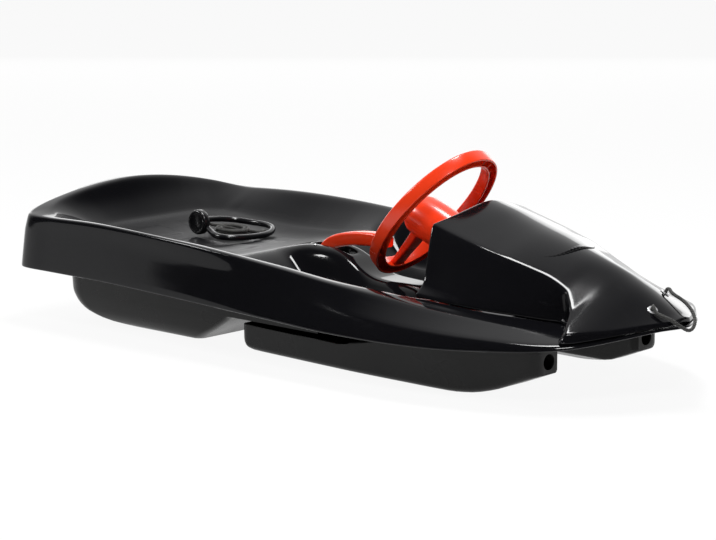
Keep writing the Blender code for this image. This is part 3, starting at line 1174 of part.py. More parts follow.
def make_brackets(mat, steel):
    """Two angle brackets under the hump that hold the lever's pin."""
    for k, side in enumerate((-1, 1)):
        name = ("brake_bracket_right", "brake_bracket_left")[k]
        y0, y1 = BRACKET_Y, BRACKET_Y + BRACKET_THICK
        low, high = sorted((side * y0, side * y1))
        cheek = box_mesh(name, (BRACKET_X[0], low, BRACKET_LOW_Z),
                         (BRACKET_X[1], high, BRACKET_TOP_Z))
        bracket = place(name, cheek, mat, 30.0)
        low, high = sorted((side * y0, side * (y1 + BRACKET_FLANGE)))
        flange = box_mesh("bracket_flange", (BRACKET_X[0], low, BRACKET_TOP_Z - BRACKET_THICK),
                          (BRACKET_X[1], high, BRACKET_TOP_Z))
        cut(bracket, cutter(f"bracket_flange_guide_{k}", flange), "UNION")
        hole = turned("bracket_bore", PIVOT - SIDE * 0.03, SIDE,
                      ((0, BRAKE_PIN_R + GAP), (0.06, BRAKE_PIN_R + GAP)), 20)
        cut(bracket, cutter(f"bracket_bore_cut_{k}", hole))
        x, y = bracket_rivet_places()[k]
        hole = turned("bracket_rivet_bore", (x, y, BRACKET_TOP_Z - 0.01), UP,
                      ((0, RIVET_R + GAP), (0.03, RIVET_R + GAP)), 8)
        cut(bracket, cutter(f"bracket_rivet_cut_{k}", hole))
        foot = BRACKET_TOP_Z - BRACKET_THICK
        rivet(("bracket_rivet_right", "bracket_rivet_left")[k], (x, y, foot), UP,
              floor_z(x, y) - foot, steel)


def make_pivot_pin(mat):
    head, edge = BRAKE_PIN_R + 0.0028, 0.001
    profile = ((-0.002, head - 0.0006), (-0.0005, head), (0, head), (0, BRAKE_PIN_R),
               (PIVOT_PIN_LENGTH, BRAKE_PIN_R), (PIVOT_PIN_LENGTH + edge, BRAKE_PIN_R - edge))
    start = PIVOT - SIDE * (BRACKET_Y + BRACKET_THICK + 0.0023)
    place("brake_pivot_pin", turned("brake_pivot_pin", start, SIDE, profile, 24), mat)


def make_spring(mat):
    """The return spring: a few close turns round the end of the pivot pin."""
    points = []
    start = BRACKET_Y + BRACKET_THICK + GAP + SPRING_WIRE_R
    for k in range(SPRING_TURNS * SPRING_STEPS + 1):
        angle = 2 * math.pi * k / SPRING_STEPS
        points.append((BRAKE_X + SPRING_R * math.cos(angle),
                       start + SPRING_PITCH * k / SPRING_STEPS,
                       BRAKE_Z + SPRING_R * math.sin(angle)))
    return tube("brake_return_spring", points, SPRING_WIRE_R, 1, mat)


def tube(name, points, radius, resolution, mat):
    """A round tube along points: a poly curve with a bevel and filled caps."""
    data = bpy.data.curves.new(name, "CURVE")
    data.dimensions = "3D"
    data.bevel_depth = radius
    data.bevel_resolution = resolution
    data.use_fill_caps = True
    spline = data.splines.new("POLY")
    spline.points.add(len(points) - 1)
    spline.use_smooth = True
    for slot, point in zip(spline.points, points):
        slot.co = (*point, 1.0)
    obj = bpy.data.objects.new(name, data)
    bpy.context.scene.collection.objects.link(obj)
    data.materials.append(mat)
    return obj


def smooth_route(points, step):
    """Points every step along a smooth curve through route points, ends straight."""
    points = [Vector(p) for p in points]
    dense = [points[0]]
    for k in range(len(points) - 1):
        p1, p2 = points[k], points[k + 1]
        p0 = points[k - 1] if k else p1 - (p2 - p1)
        p3 = points[k + 2] if k + 2 < len(points) else p2 + (p2 - p1)
        for j in range(1, 17):
            u = j / 16
            dense.append(0.5 * (2 * p1 + (p2 - p0) * u + (2 * p0 - 5 * p1 + 4 * p2 - p3) * u * u
                                + (3 * p1 - p0 - 3 * p2 + p3) * u ** 3))
    lengths = [0.0]
    for a, b in zip(dense, dense[1:]):
        lengths.append(lengths[-1] + (b - a).length)
    count = max(2, round(lengths[-1] / step))
    result = []
    for k in range(count + 1):
        want = lengths[-1] * k / count
        j = 0
        while j < len(lengths) - 2 and lengths[j + 1] < want:
            j += 1
        u = (want - lengths[j]) / max(1e-9, lengths[j + 1] - lengths[j])
        result.append(dense[j].lerp(dense[j + 1], u))
    return result


# Ropes, eyelets and the handle

def make_eyelets(steel):
    for k, side in enumerate((-1, 1)):
        name = ("eyelet_right", "eyelet_left")[k]
        profile = ((-0.0048, EYELET_BORE), (-0.0048, EYELET_TUBE_R), (0.0005, EYELET_TUBE_R),
                   (0.0007, EYELET_FLANGE_R), (0.0017, EYELET_FLANGE_R - 0.0004),
                   (0.0021, EYELET_FLANGE_R - 0.0015), (0.0021, EYELET_BORE + 0.0004),
                   (0.0015, EYELET_BORE))
        place(name, ring_solid(name, eyelet_place(side), eyelet_axis(side), profile, 16), steel)


def knot(name, centre, way, mat):
    """A stopper knot as a rounded bead."""
    profile = [(-KNOT_R * 0.9, KNOT_R * 0.55), (-KNOT_R * 0.55, KNOT_R * 0.9), (0, KNOT_R),
               (KNOT_R * 0.55, KNOT_R * 0.9), (KNOT_R * 0.9, KNOT_R * 0.55)]
    return place(name, turned(name, centre, way, profile, 12), mat, 60.0)


def report_rope(name, points):
    """Print a rope's length and its least gap to itself, measured between its points."""
    far = [0.0]
    for a, b in zip(points, points[1:]):
        far.append(far[-1] + (b - a).length)
    gaps = [nearest_on(p, points[j], points[j + 1]) - 2 * ROPE_R
            for k, p in enumerate(points) for j in range(len(points) - 1)
            if min(abs(far[j] - far[k]), abs(far[j + 1] - far[k])) > 8 * ROPE_R]
    print(f"{name}: {far[-1]:.3f} m long, least gap to itself {min(gaps) * 1000:.2f} mm")


def nearest_on(point, start, end):
    """Distance from a point to a straight piece of rope."""
    way = end - start
    share = max(0.0, min(1.0, (point - start).dot(way) / way.length_squared))
    return (point - start - way * share).length


def make_nose_rope(mat):
    """The tow loop: it leaves one eyelet, runs round the tip and enters the other."""
    near, far = eyelet_place(-1), eyelet_place(1)
    out_near, out_far = eyelet_axis(-1), eyelet_axis(1)
    route = ([near - out_near * ROPE_START, near, near + out_near * 0.009] + NOSE_ROUTE
             + [far + out_far * 0.009, far, far - out_far * ROPE_START])
    points = smooth_route(route, ROPE_STEP)
    tube("nose_rope", points, ROPE_R, 2, mat)
    report_rope("nose rope", points)
    for name, eye, way in (("nose_knot_right", near, out_near), ("nose_knot_left", far, out_far)):
        knot(name, eye - way * (ROPE_START + GAP + KNOT_R * 0.9), way, mat)


def coil_points():
    """The tow rope's coil: in and out again in two layers, then up to the handle's hub."""
    points = []
    for k in range(COIL_STEPS * COIL_TURNS * 2 + round(COIL_EXTRA * COIL_STEPS) + 1):
        turn = k / COIL_STEPS
        inward = min(turn, 2 * COIL_TURNS + COIL_EXTRA - turn)
        radius = COIL_R - COIL_PITCH * inward
        layer = smooth(COIL_TURNS - 0.125, COIL_TURNS + 0.375, turn)
        angle = COIL_END_ANGLE - 2 * math.pi * (2 * COIL_TURNS + COIL_EXTRA - turn)
        x = COIL_X + radius * math.cos(angle)
        y = COIL_Y + radius * math.sin(angle)
        points.append(Vector((x, y, coil_floor(x) + ROPE_R + layer * COIL_LAYER)))
    return points


def coil_floor(x):
    return COIL_Z + COIL_SLOPE * (x - COIL_X)


def make_tow_rope(mat):
    points = coil_points()
    tail = Vector(TAIL_KNOT)
    start = tail - Vector((KNOT_R * 0.9 + GAP, 0.0, 0.0))
    lead = smooth_route([start, start - Vector((ROPE_R * 2.4, 0.0, 0.0)),
                         (start + points[0]) / 2 - Vector((0.002, 0.0, 0.0006)), points[0],
                         points[1]], ROPE_STEP)
    end = Vector((HUB_X, HUB_Y + HUB_THICK / 2 + GAP, HUB_Z))
    finish = smooth_route([points[-2], points[-1], points[-1] + Vector((0.0004, -0.018, 0.0035)),
                           end + SIDE * (ROPE_R * 2.4), end], ROPE_STEP)
    whole = lead + points[2:-1] + finish[1:]
    tube("tow_rope_coil", whole, ROPE_R, 1, mat)
    report_rope("tow rope", whole)
    knot("tow_rope_knot", tail, Vector((1.0, 0.0, 0.0)), mat)


def make_handle(mat, satin):
    """The D handle for the tow rope: a round hub and a bent grip."""
    hub = turned("tow_handle_hub", (HUB_X, HUB_Y - HUB_THICK / 2, HUB_Z), SIDE,
                 ((0, HUB_DISC_R - 0.003), (0.001, HUB_DISC_R - 0.001), (0.003, HUB_DISC_R),
                  (HUB_THICK - 0.003, HUB_DISC_R), (HUB_THICK - 0.001, HUB_DISC_R - 0.001),
                  (HUB_THICK, HUB_DISC_R - 0.003)), 24)
    place("tow_handle_hub", hub, satin, 50.0)
    tube("tow_handle_grip", smooth_route(GRIP_ROUTE, 0.012), GRIP_R, 2, mat)


def build():
    clear_scene()
    gloss = material("gloss_black", BLACK_GLOSS, 0.12)
    satin = material("satin_black", BLACK_SATIN, 0.35)
    red = material("red_plastic", RED, 0.25)
    rope = material("black_rope", BLACK_CORD, 0.8)
    steel = material("zinc_steel", STEEL, 0.35, 1.0)
    make_hull(gloss)
    make_cowl(gloss)
    make_badge(satin)
    make_box(satin)
    make_ski(satin)
    for k, (x, y) in enumerate(COWL_SCREWS):
        screw(f"cowl_screw_{k + 1}", x, y, deck_z(x, abs(y)) - SHEET - COWL_SCREW_DROP[x],
              0.0095, steel)
    for k, (x, y) in enumerate(BOX_SCREWS):
        screw(f"box_screw_{k + 1}", x, y, BOX_TUBE_TOP - WELL_ROOF, 0.0155, steel, head=0.006)
    make_steering(red, satin, steel)
    make_kingpin(satin, steel)
    make_lever(red)
    make_claw(steel)
    for k, distance in enumerate(CLAW_RIVETS):
        rivet(f"claw_rivet_{k + 1}", PIVOT + CLAW_WAY * distance - CLAW_DOWN * TONGUE_HALF,
              CLAW_DOWN, 2 * TONGUE_HALF + GAP + CLAW_THICK, steel, PIVOT)
    make_brackets(satin, steel)
    make_pivot_pin(steel)
    make_spring(steel)
    make_eyelets(steel)
    make_nose_rope(rope)
    make_tow_rope(rope)
    make_handle(satin, gloss)


build()
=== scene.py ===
"""Looks of the two-seat steerable snow bob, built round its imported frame."""
import math

import bmesh
import bpy
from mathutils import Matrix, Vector


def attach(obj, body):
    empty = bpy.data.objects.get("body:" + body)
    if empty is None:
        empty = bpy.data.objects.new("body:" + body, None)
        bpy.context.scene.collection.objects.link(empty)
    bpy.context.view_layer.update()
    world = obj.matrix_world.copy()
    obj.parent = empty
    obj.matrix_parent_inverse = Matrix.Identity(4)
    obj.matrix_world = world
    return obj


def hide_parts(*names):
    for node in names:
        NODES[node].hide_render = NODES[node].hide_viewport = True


bl_info = {
    "name": "Snow bob",
    "version": (1, 0, 0),
    "blender": (4, 5, 0),
    "location": "3D View > Sidebar > Snow bob",
    "description": "Builds a steerable plastic snow bob piece by piece",
    "category": "Add Mesh",
}

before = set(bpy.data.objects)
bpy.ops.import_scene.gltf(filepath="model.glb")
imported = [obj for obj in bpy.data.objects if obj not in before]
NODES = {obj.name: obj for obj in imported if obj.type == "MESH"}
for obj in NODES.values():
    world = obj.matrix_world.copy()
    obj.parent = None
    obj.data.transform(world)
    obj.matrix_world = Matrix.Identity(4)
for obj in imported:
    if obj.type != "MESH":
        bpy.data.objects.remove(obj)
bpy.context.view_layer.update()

# Plan lines of the shell as (x, half width), from the middle of the rear to the nose
SKIRT_PLAN = [
    (-0.594, 0.0), (-0.594, 0.10), (-0.5935, 0.18), (-0.5905, 0.222), (-0.5795, 0.2465), (-0.553, 0.2535),
    (-0.51, 0.2535), (-0.40, 0.2545), (-0.20, 0.2575), (0.0, 0.2595), (0.15, 0.2605), (0.25, 0.2565),
    (0.35, 0.2385), (0.42, 0.214), (0.47, 0.191), (0.51, 0.160), (0.540, 0.123), (0.567, 0.080),
    (0.592, 0.036), (0.6045, 0.011), (0.606, 0.0)]
CREASE_PLAN = [
    (-0.590, 0.0), (-0.590, 0.10), (-0.5895, 0.178), (-0.5865, 0.217), (-0.5755, 0.2405),
    (-0.551, 0.2475), (-0.51, 0.2480), (-0.40, 0.2485), (-0.20, 0.2485), (0.0, 0.2475), (0.10, 0.2475),
    (0.20, 0.246), (0.30, 0.2365), (0.40, 0.216), (0.47, 0.187), (0.51, 0.157), (0.540, 0.120),
    (0.566, 0.077), (0.591, 0.034), (0.603, 0.010), (0.6045, 0.0)]
RIM_PLAN = [
    (-0.586, 0.0), (-0.586, 0.10), (-0.5855, 0.175), (-0.582, 0.215), (-0.570, 0.2365), (-0.545, 0.2445),
    (-0.50, 0.2470), (-0.40, 0.2485), (-0.20, 0.250), (0.0, 0.239), (0.10, 0.226), (0.20, 0.209),
    (0.30, 0.192), (0.40, 0.163), (0.45, 0.142), (0.50, 0.115), (0.535, 0.075), (0.552, 0.030),
    (0.556, 0.0)]
MOUTH_PLAN = [
    (-0.563, 0.0), (-0.563, 0.10), (-0.562, 0.155), (-0.554, 0.188), (-0.534, 0.211), (-0.49, 0.2225),
    (-0.40, 0.230), (-0.30, 0.236), (-0.20, 0.236), (-0.10, 0.228), (0.0, 0.216), (0.05, 0.209),
    (0.12, 0.197), (0.19, 0.183), (0.235, 0.170), (0.27, 0.141), (0.345, 0.124), (0.39, 0.107),
    (0.43, 0.090), (0.465, 0.072), (0.480, 0.045), (0.484, 0.0)]
WALL_PLAN = [
    (-0.546, 0.0), (-0.546, 0.09), (-0.544, 0.130), (-0.535, 0.162), (-0.512, 0.182), (-0.47, 0.194),
    (-0.40, 0.202), (-0.30, 0.207), (-0.20, 0.207), (-0.10, 0.204), (0.0, 0.198), (0.10, 0.184),
    (0.19, 0.168), (0.235, 0.154), (0.27, 0.134), (0.345, 0.117), (0.39, 0.101), (0.43, 0.084),
    (0.458, 0.066), (0.472, 0.042), (0.476, 0.0)]
FOOT_PLAN = [
    (-0.518, 0.0), (-0.518, 0.08), (-0.516, 0.112), (-0.508, 0.138), (-0.49, 0.155), (-0.45, 0.166),
    (-0.35, 0.174), (-0.20, 0.176), (-0.10, 0.177), (0.0, 0.178), (0.10, 0.169), (0.19, 0.154),
    (0.27, 0.127), (0.345, 0.109), (0.39, 0.094), (0.43, 0.077), (0.452, 0.059), (0.462, 0.035),
    (0.465, 0.0)]
# Heights of those lines along X
SKIRT_Z = [
    (-0.60, 0.095), (-0.40, 0.095), (-0.20, 0.091), (0.0, 0.085), (0.15, 0.081), (0.30, 0.082),
    (0.42, 0.086), (0.47, 0.089), (0.51, 0.093), (0.535, 0.098), (0.555, 0.1035), (0.574, 0.1090),
    (0.590, 0.1135), (0.606, 0.1155)]
CREASE_Z = [
    (-0.60, 0.158), (-0.40, 0.160), (-0.20, 0.153), (-0.10, 0.146), (0.0, 0.131), (0.10, 0.117),
    (0.20, 0.109), (0.30, 0.104), (0.40, 0.101), (0.47, 0.0985), (0.51, 0.0995), (0.535, 0.104),
    (0.552, 0.1080), (0.572, 0.1135), (0.590, 0.1175), (0.606, 0.1195)]
RIM_Z = [
    (-0.60, 0.184), (-0.55, 0.184), (-0.40, 0.187), (-0.20, 0.181), (0.0, 0.164), (0.10, 0.151),
    (0.20, 0.139), (0.30, 0.127), (0.40, 0.117), (0.45, 0.112), (0.50, 0.1085), (0.535, 0.1065),
    (0.556, 0.1080)]
MOUTH_Z = [
    (-0.60, 0.184), (-0.55, 0.184), (-0.40, 0.187), (-0.20, 0.181), (0.0, 0.1635), (0.10, 0.150),
    (0.19, 0.1415), (0.265, 0.1335), (0.345, 0.1265), (0.39, 0.122), (0.43, 0.117), (0.484, 0.1125)]
SEAT_Z = [
    (-0.52, 0.155), (-0.495, 0.1505), (-0.465, 0.146), (-0.40, 0.1385), (-0.33, 0.1345), (-0.25, 0.137),
    (-0.19, 0.145), (-0.165, 0.148), (-0.145, 0.142), (-0.115, 0.118), (-0.085, 0.099), (-0.05, 0.093),
    (0.0, 0.093), (0.40, 0.093), (0.47, 0.096)]
HUMP_Z = [
    (-0.30, 0.1355), (-0.19, 0.145), (-0.165, 0.1495), (-0.12, 0.157), (-0.075, 0.156), (-0.04, 0.146),
    (-0.005, 0.127), (0.02, 0.1195), (0.06, 0.117), (0.10, 0.115), (0.122, 0.110), (0.140, 0.093),
    (0.20, 0.093), (0.47, 0.096)]
CROWN_RISE, CROWN_HALF, CROWN_POWER, CROWN_X = 0.038, 0.235, 1.8, (-0.50, -0.555)
HUMP_FLAT, HUMP_FOOT = 0.030, 0.056
FOOT_RISE = 0.004
SHELL_CORNERS, HEM = (0.030, 0.0060, 0.0045, 0.0060), 0.004
CONSOLE_TOP = Vector((0.06, 0, 0.117))
REAR_SPAN = (0.165, 0.160, 0.158, 0.148, 0.130, 0.122)
NOSE_SPAN = (0.055, 0.052, 0.050, 0.052, 0.055, 0.060)

# The shell's grid of faces
FLOOR_HALF = 0.118
FLOOR_MARGIN = 0.012
FLOOR_REAR, FLOOR_FRONT = -0.495, 0.39
FRAMES = 6              # rings between the wall's foot and the floor's grid
ROW_STEP = 0.017
LEVER_SLOT_X, LEVER_SLOT_Y = (-0.131, -0.046), 0.0125
SLOT_TOP = 0.17
SEAT_FRONT, HUMP_END_X = -0.165, (0.122, 0.140)
COLUMN_SLOT_X, COLUMN_SLOT_Y = (0.2605, 0.312), 0.022
PAD_ROWS = (-0.448, -0.356, -0.264)
PAD_LENGTH, PAD_INNER_Y, PAD_OUTER_Y, PAD_SLOPE = 0.060, 0.020, 0.087, 0.002

# Cowl
RIDGE_Z = [
    (0.235, 0.2635), (0.265, 0.2550), (0.30, 0.2430), (0.33, 0.2335), (0.36, 0.2250), (0.40, 0.2130),
    (0.45, 0.1985), (0.48, 0.1885), (0.52, 0.1705), (0.55, 0.1545), (0.575, 0.1405), (0.590, 0.1325),
    (0.602, 0.1285)]
SHOULDER_Y = [
    (0.235, 0.112), (0.281, 0.112), (0.344, 0.107), (0.378, 0.099), (0.426, 0.089), (0.441, 0.0892),
    (0.452, 0.0905), (0.465, 0.099), (0.477, 0.110), (0.487, 0.125), (0.495, 0.140), (0.503, 0.152),
    (0.510, 0.160), (0.60, 0.160)]
HOOD_DROP = [
    (0.216, 0.0216), (0.281, 0.0245), (0.344, 0.0240), (0.378, 0.0266), (0.426, 0.0340), (0.460, 0.0400),
    (0.48, 0.0410), (0.50, 0.0385), (0.52, 0.0372), (0.55, 0.0365), (0.575, 0.034), (0.590, 0.030),
    (0.60, 0.030)]
HOOD_POWER = [
    (0.216, 1.3), (0.281, 1.4), (0.344, 1.5), (0.390, 1.45), (0.430, 1.38), (0.48, 1.2), (0.60, 1.2)]
HOOD_UNIT, HOOD_SOFT, HOOD_SOFT_SHARE = 0.1, 0.03, 0.72
RECESS_MID_Y = [(0.235, 0.130), (0.30, 0.127), (0.35, 0.119), (0.40, 0.104), (0.452, 0.091)]
RECESS_LOW_Y = [(0.235, 0.149), (0.30, 0.149), (0.35, 0.139), (0.40, 0.118), (0.452, 0.094)]
RECESS_FOOT_Y = [
    (0.235, 0.170), (0.265, 0.164), (0.30, 0.157), (0.345, 0.146), (0.39, 0.126), (0.43, 0.107),
    (0.452, 0.097), (0.465, 0.104), (0.477, 0.115), (0.487, 0.129), (0.495, 0.143), (0.503, 0.153)]
FOOT_CLOSING, RECESS_EDGE = (0.484, 0.503), (0.452, 0.468)
REAR_BOW, REAR_BOW_END, LIP_STEP = 0.019, 0.31, 0.003
COWL_REAR, COWL_TIP = 0.235, 0.600
COWL_MARKS = (COWL_REAR, COWL_REAR + 0.0025, 0.435, 0.515, 0.585, COWL_TIP)
COWL_STEPS = (0.0025, 0.010, 0.0022, 0.007, 0.003)  # between the marks
LIP_INSET, LIP_GAP, DECK_GAP, FOOT_BAND = 0.0012, 0.0022, 0.0009, 0.004
COWL_CORNERS, FOOT_BAND_SHARE = (0.0045, 0.02, 0.010, 0.0025), 0.12
# The side wall's two bends: plan line, share of the way out and share of the height
WALL_LEVELS = ((RECESS_MID_Y, 0.4, 0.62), (RECESS_LOW_Y, 0.8, 0.16))
BADGE_X, BADGE_HALF = 0.352, (0.068, 0.082)
BADGE_TOP, BADGE_LIFT, BADGE_EDGE, BADGE_WALL = 0.0023, 0.0022, 0.0012, 0.0022
BADGE_INSETS, BADGE_ROUND_FROM = (0.012, 0.02, 0.04, 0.12, 0.25, 0.25), 0.97

# Steering
WHEEL_CENTRE = Vector((0.121, 0.0, 0.232))
WHEEL_TILT = math.radians(48.0)
COLUMN_DIR = Vector((math.sin(WHEEL_TILT), 0.0, -math.cos(WHEEL_TILT)))
WHEEL_UP = Vector((math.cos(WHEEL_TILT), 0.0, math.sin(WHEEL_TILT)))
SIDE = Vector((0.0, 1.0, 0.0))
UP = Vector((0.0, 0.0, 1.0))
BEVEL_ANGLE, FLAT_ANGLE, NORMAL_WEIGHT = math.radians(32), math.radians(0.5), 60
SAME_PLACE = 1e-6
PAST = 0.01     # how far a cutter reaches past what it cuts


# Curves and tables

def value_at(table, x):
    """A smooth curve through a table's points that never overshoots them."""
    if x <= table[0][0]:
        return table[0][1]
    if x >= table[-1][0]:
        return table[-1][1]
    k = 0
    while table[k + 1][0] < x:
        k += 1

    def slope(j):
        if j <= 0 or j >= len(table) - 1:
            a, b = (0, 1) if j <= 0 else (-2, -1)
            return (table[b][1] - table[a][1]) / (table[b][0] - table[a][0])
        left = (table[j][1] - table[j - 1][1]) / (table[j][0] - table[j - 1][0])
        right = (table[j + 1][1] - table[j][1]) / (table[j + 1][0] - table[j][0])
        if left * right <= 0.0:
            return 0.0
        return 2.0 * left * right / (left + right)

    (x0, y0), (x1, y1) = table[k], table[k + 1]
    step = x1 - x0
    u = (x - x0) / step
    return ((2 * u ** 3 - 3 * u ** 2 + 1) * y0 + (u ** 3 - 2 * u ** 2 + u) * step * slope(k)
            + (3 * u ** 2 - 2 * u ** 3) * y1 + (u ** 3 - u ** 2) * step * slope(k + 1))


def smooth(low, high, x):
    u = min(1.0, max(0.0, (x - low) / (high - low)))
    return u * u * (3.0 - 2.0 * u)


def plan_line(points, steps=12):
    """A dense smooth line through plan points, as (x, y, distance along it)."""
    line = [(points[0][0], points[0][1], 0.0)]
    count = len(points)
    for k in range(count - 1):
        p1, p2 = Vector(points[k]), Vector(points[k + 1])
        p0 = Vector(points[k - 1]) if k else Vector((p2.x, -p2.y))
        p3 = Vector(points[k + 2]) if k < count - 2 else Vector((p1.x, -p1.y))
        t1 = (p1 - p0).length ** 0.5
        t2 = t1 + (p2 - p1).length ** 0.5
        t3 = t2 + (p3 - p2).length ** 0.5
        for j in range(1, steps + 1):
            t = t1 + (t2 - t1) * j / steps
            a1 = p0 * ((t1 - t) / t1) + p1 * (t / t1)
            a2 = p1 * ((t2 - t) / (t2 - t1)) + p2 * ((t - t1) / (t2 - t1))
            a3 = p2 * ((t3 - t) / (t3 - t2)) + p3 * ((t - t2) / (t3 - t2))
            b1 = a1 * ((t2 - t) / t2) + a2 * (t / t2)
            b2 = a2 * ((t3 - t) / (t3 - t1)) + a3 * ((t - t1) / (t3 - t1))
            point = b1 * ((t2 - t) / (t2 - t1)) + b2 * ((t - t1) / (t2 - t1))
            line.append((point.x, point.y, line[-1][2] + math.dist(line[-1][:2], point)))
    return line


def crossing(line, value, axis, backwards=False):
    """The first place where x (axis 0) or y (axis 1) passes a value, as (x, y, distance)."""
    pairs = list(zip(line, line[1:]))
    if backwards:
        pairs.reverse()
    for a, b in pairs:
        low, high = sorted((a[axis], b[axis]))
        if low <= value <= high:
            u = 0.0 if high == low else (value - a[axis]) / (b[axis] - a[axis])
            return tuple(a[j] + (b[j] - a[j]) * u for j in range(3))
    return line[-1]


def at_distance(line, distance):
    for a, b in zip(line, line[1:]):
        if b[2] >= distance:
            u = (distance - a[2]) / max(1e-9, b[2] - a[2])
            return a[0] + (b[0] - a[0]) * u, a[1] + (b[1] - a[1]) * u
    return line[-1][:2]


PLANS = [plan_line(plan) for plan in
         (SKIRT_PLAN, CREASE_PLAN, RIM_PLAN, MOUTH_PLAN, WALL_PLAN, FOOT_PLAN)]


def rounded(points, cuts):
    """A chain of points, each inner corner replaced by three points. The cuts say how far they reach."""
    made = [points[0]]
    for k in range(1, len(points) - 1):
        before, corner, after = points[k - 1], points[k], points[k + 1]
        a, c = before - corner, after - corner
        first = corner + a * min(0.45, cuts[k - 1] / max(1e-9, a.length))
        last = corner + c * min(0.45, cuts[k - 1] / max(1e-9, c.length))
        made += [first, first * 0.25 + corner * 0.5 + last * 0.25, last]
    return made + [points[-1]]


def filled(low, high, step):
    """Numbers from low to high, evenly spaced and at most a step apart, without the last."""
    count = max(1, math.ceil((high - low) / step - 1e-6))
    return [low + (high - low) * k / count for k in range(count)]


# Mesh work

def extruded(bm, loop, places):
    """Extrudes a loop of vertices and puts the new loop in its places."""
    made = bmesh.ops.extrude_edge_only(bm, edges=loop_edges(bm, loop))["geom"]
    fresh = {item for item in made if isinstance(item, bmesh.types.BMVert)}
    new_loop = [next(edge.other_vert(v) for edge in v.link_edges if edge.other_vert(v) in fresh)
                for v in loop]
    for v, place in zip(new_loop, places):
        v.co = place
    return new_loop


def loop_edges(bm, loop):
    return [bm.edges.get(pair) for pair in zip(loop, loop[1:] + loop[:1])]


def lofted(rings, closed=False):
    """A skin through rings of points, made by extruding the first of them."""
    bm = bmesh.new()
    first = list(bmesh.ops.create_circle(bm, cap_ends=False, segments=len(rings[0]),
                                         radius=1.0)["verts"])
    for v, place in zip(first, rings[0]):
        v.co = place
    loop = first
    for ring in rings[1:]:
        loop = extruded(bm, loop, ring)
    if closed:
        bmesh.ops.bridge_loops(bm, edges=loop_edges(bm, first) + loop_edges(bm, loop))
    else:
        bmesh.ops.edgeloop_fill(bm, edges=loop_edges(bm, first))
        bmesh.ops.edgeloop_fill(bm, edges=loop_edges(bm, loop))
    bmesh.ops.recalc_face_normals(bm, faces=bm.faces)
    return to_mesh(bm)


def to_mesh(bm):
    mesh = bpy.data.meshes.new("piece")
    bm.to_mesh(mesh)
    bm.free()
    return mesh


def numbered_grid(along, across):
    """A grid of faces, and its vertices by their place along and across it."""
    bm = bmesh.new()
    made = bmesh.ops.create_grid(bm, x_segments=along - 1, y_segments=across - 1, size=1.0)
    grid = {}
    for v in made["verts"]:
        s = round((v.co.x + 1.0) / 2.0 * (along - 1))
        t = round((v.co.y + 1.0) / 2.0 * (across - 1))
        grid[s, t] = v
    return bm, grid


def face_up(bm, chosen):
    """Turns all the faces one way, so that the chosen one looks up."""
    bmesh.ops.recalc_face_normals(bm, faces=bm.faces)
    if chosen.normal.z < 0:
        bmesh.ops.reverse_faces(bm, faces=bm.faces)


def circle(centre, first, second, radius, count):
    """Points of a circle in the plane of two directions."""
    return [centre + (first * math.cos(t) + second * math.sin(t)) * radius
            for t in (2 * math.pi * k / count for k in range(count))]


def mirrored(points):
    """The same points on the other side of the sled, in the opposite order."""
    return [Vector((p.x, -p.y, p.z)) for p in reversed(points)]


def turned(start, direction, profile, steps=48):
    """A round solid spun from (distance, radius) pairs that begin and end on its axis."""
    axis = Vector(direction).normalized()
    first = axis.orthogonal().normalized()
    bm = bmesh.new()
    verts = [bm.verts.new(Vector(start) + axis * along + first * radius)
             for along, radius in profile]
    edges = [bm.edges.new(pair) for pair in zip(verts, verts[1:])]
    bmesh.ops.spin(bm, geom=verts + edges, cent=Vector(start), axis=axis, dvec=(0, 0, 0),
                   angle=2 * math.pi, steps=steps, use_merge=True, use_duplicate=False)
    bmesh.ops.remove_doubles(bm, verts=bm.verts, dist=SAME_PLACE)
    bmesh.ops.recalc_face_normals(bm, faces=bm.faces)
    return to_mesh(bm)


def rod(start, direction, length, radius, steps=32):
    return turned(start, direction, ((0, 0), (0, radius), (length, radius), (length, 0)), steps)


def add_object(name, data):
    obj = bpy.data.objects.new(name, data)
    bpy.context.scene.collection.objects.link(obj)
    return obj


def modifier(obj, kind, **settings):
    mod = obj.modifiers.new(kind.capitalize(), kind)
    for key, value in settings.items():
        setattr(mod, key, value)


def block(low, high):
    bm = bmesh.new()
    low, high = Vector(low), Vector(high)
    bmesh.ops.create_cube(bm, size=1.0)
    bmesh.ops.scale(bm, vec=high - low, verts=bm.verts)
    bmesh.ops.translate(bm, vec=(low + high) / 2, verts=bm.verts)
    return to_mesh(bm)


def worked(base, *steps):
    """The base mesh with solids joined to it (True) or cut out of it (False), in order."""
    obj = add_object("blank", base)
    tools = []
    for mesh, joined in steps:
        tools.append(add_object("tool", mesh))
        modifier(obj, "BOOLEAN", operation="UNION" if joined else "DIFFERENCE", solver="EXACT",
                 object=tools[-1])
    graph = bpy.context.evaluated_depsgraph_get()
    mesh = bpy.data.meshes.new_from_object(obj.evaluated_get(graph))
    for old in [obj] + tools:
        bpy.data.objects.remove(old)
    return mesh


def piece(name, mesh, look, body, stands_for=(), bevel=0.0, wall=0.0, levels=0, sharp=None):
    """A finished piece: its mesh in place, its modifiers, its look and its CAD body."""
    mesh.name = name
    obj = add_object(name, mesh)
    mesh.materials.clear()
    mesh.materials.append(finish(look))
    mesh.shade_smooth()
    if sharp is not None:
        mesh.set_sharp_from_angle(angle=math.radians(sharp))
    if wall:
        modifier(obj, "SOLIDIFY", thickness=wall, offset=-1.0, use_even_offset=True)
    if bevel:
        modifier(obj, "BEVEL", width=bevel, segments=2, limit_method="ANGLE",
                 angle_limit=BEVEL_ANGLE, use_clamp_overlap=True, miter_outer="MITER_ARC")
        modifier(obj, "WEIGHTED_NORMAL", keep_sharp=False, weight=NORMAL_WEIGHT)
    if levels:
        modifier(obj, "SUBSURF", levels=levels, render_levels=levels)
    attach(obj, body)
    if stands_for:
        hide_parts(*stands_for)
    return obj


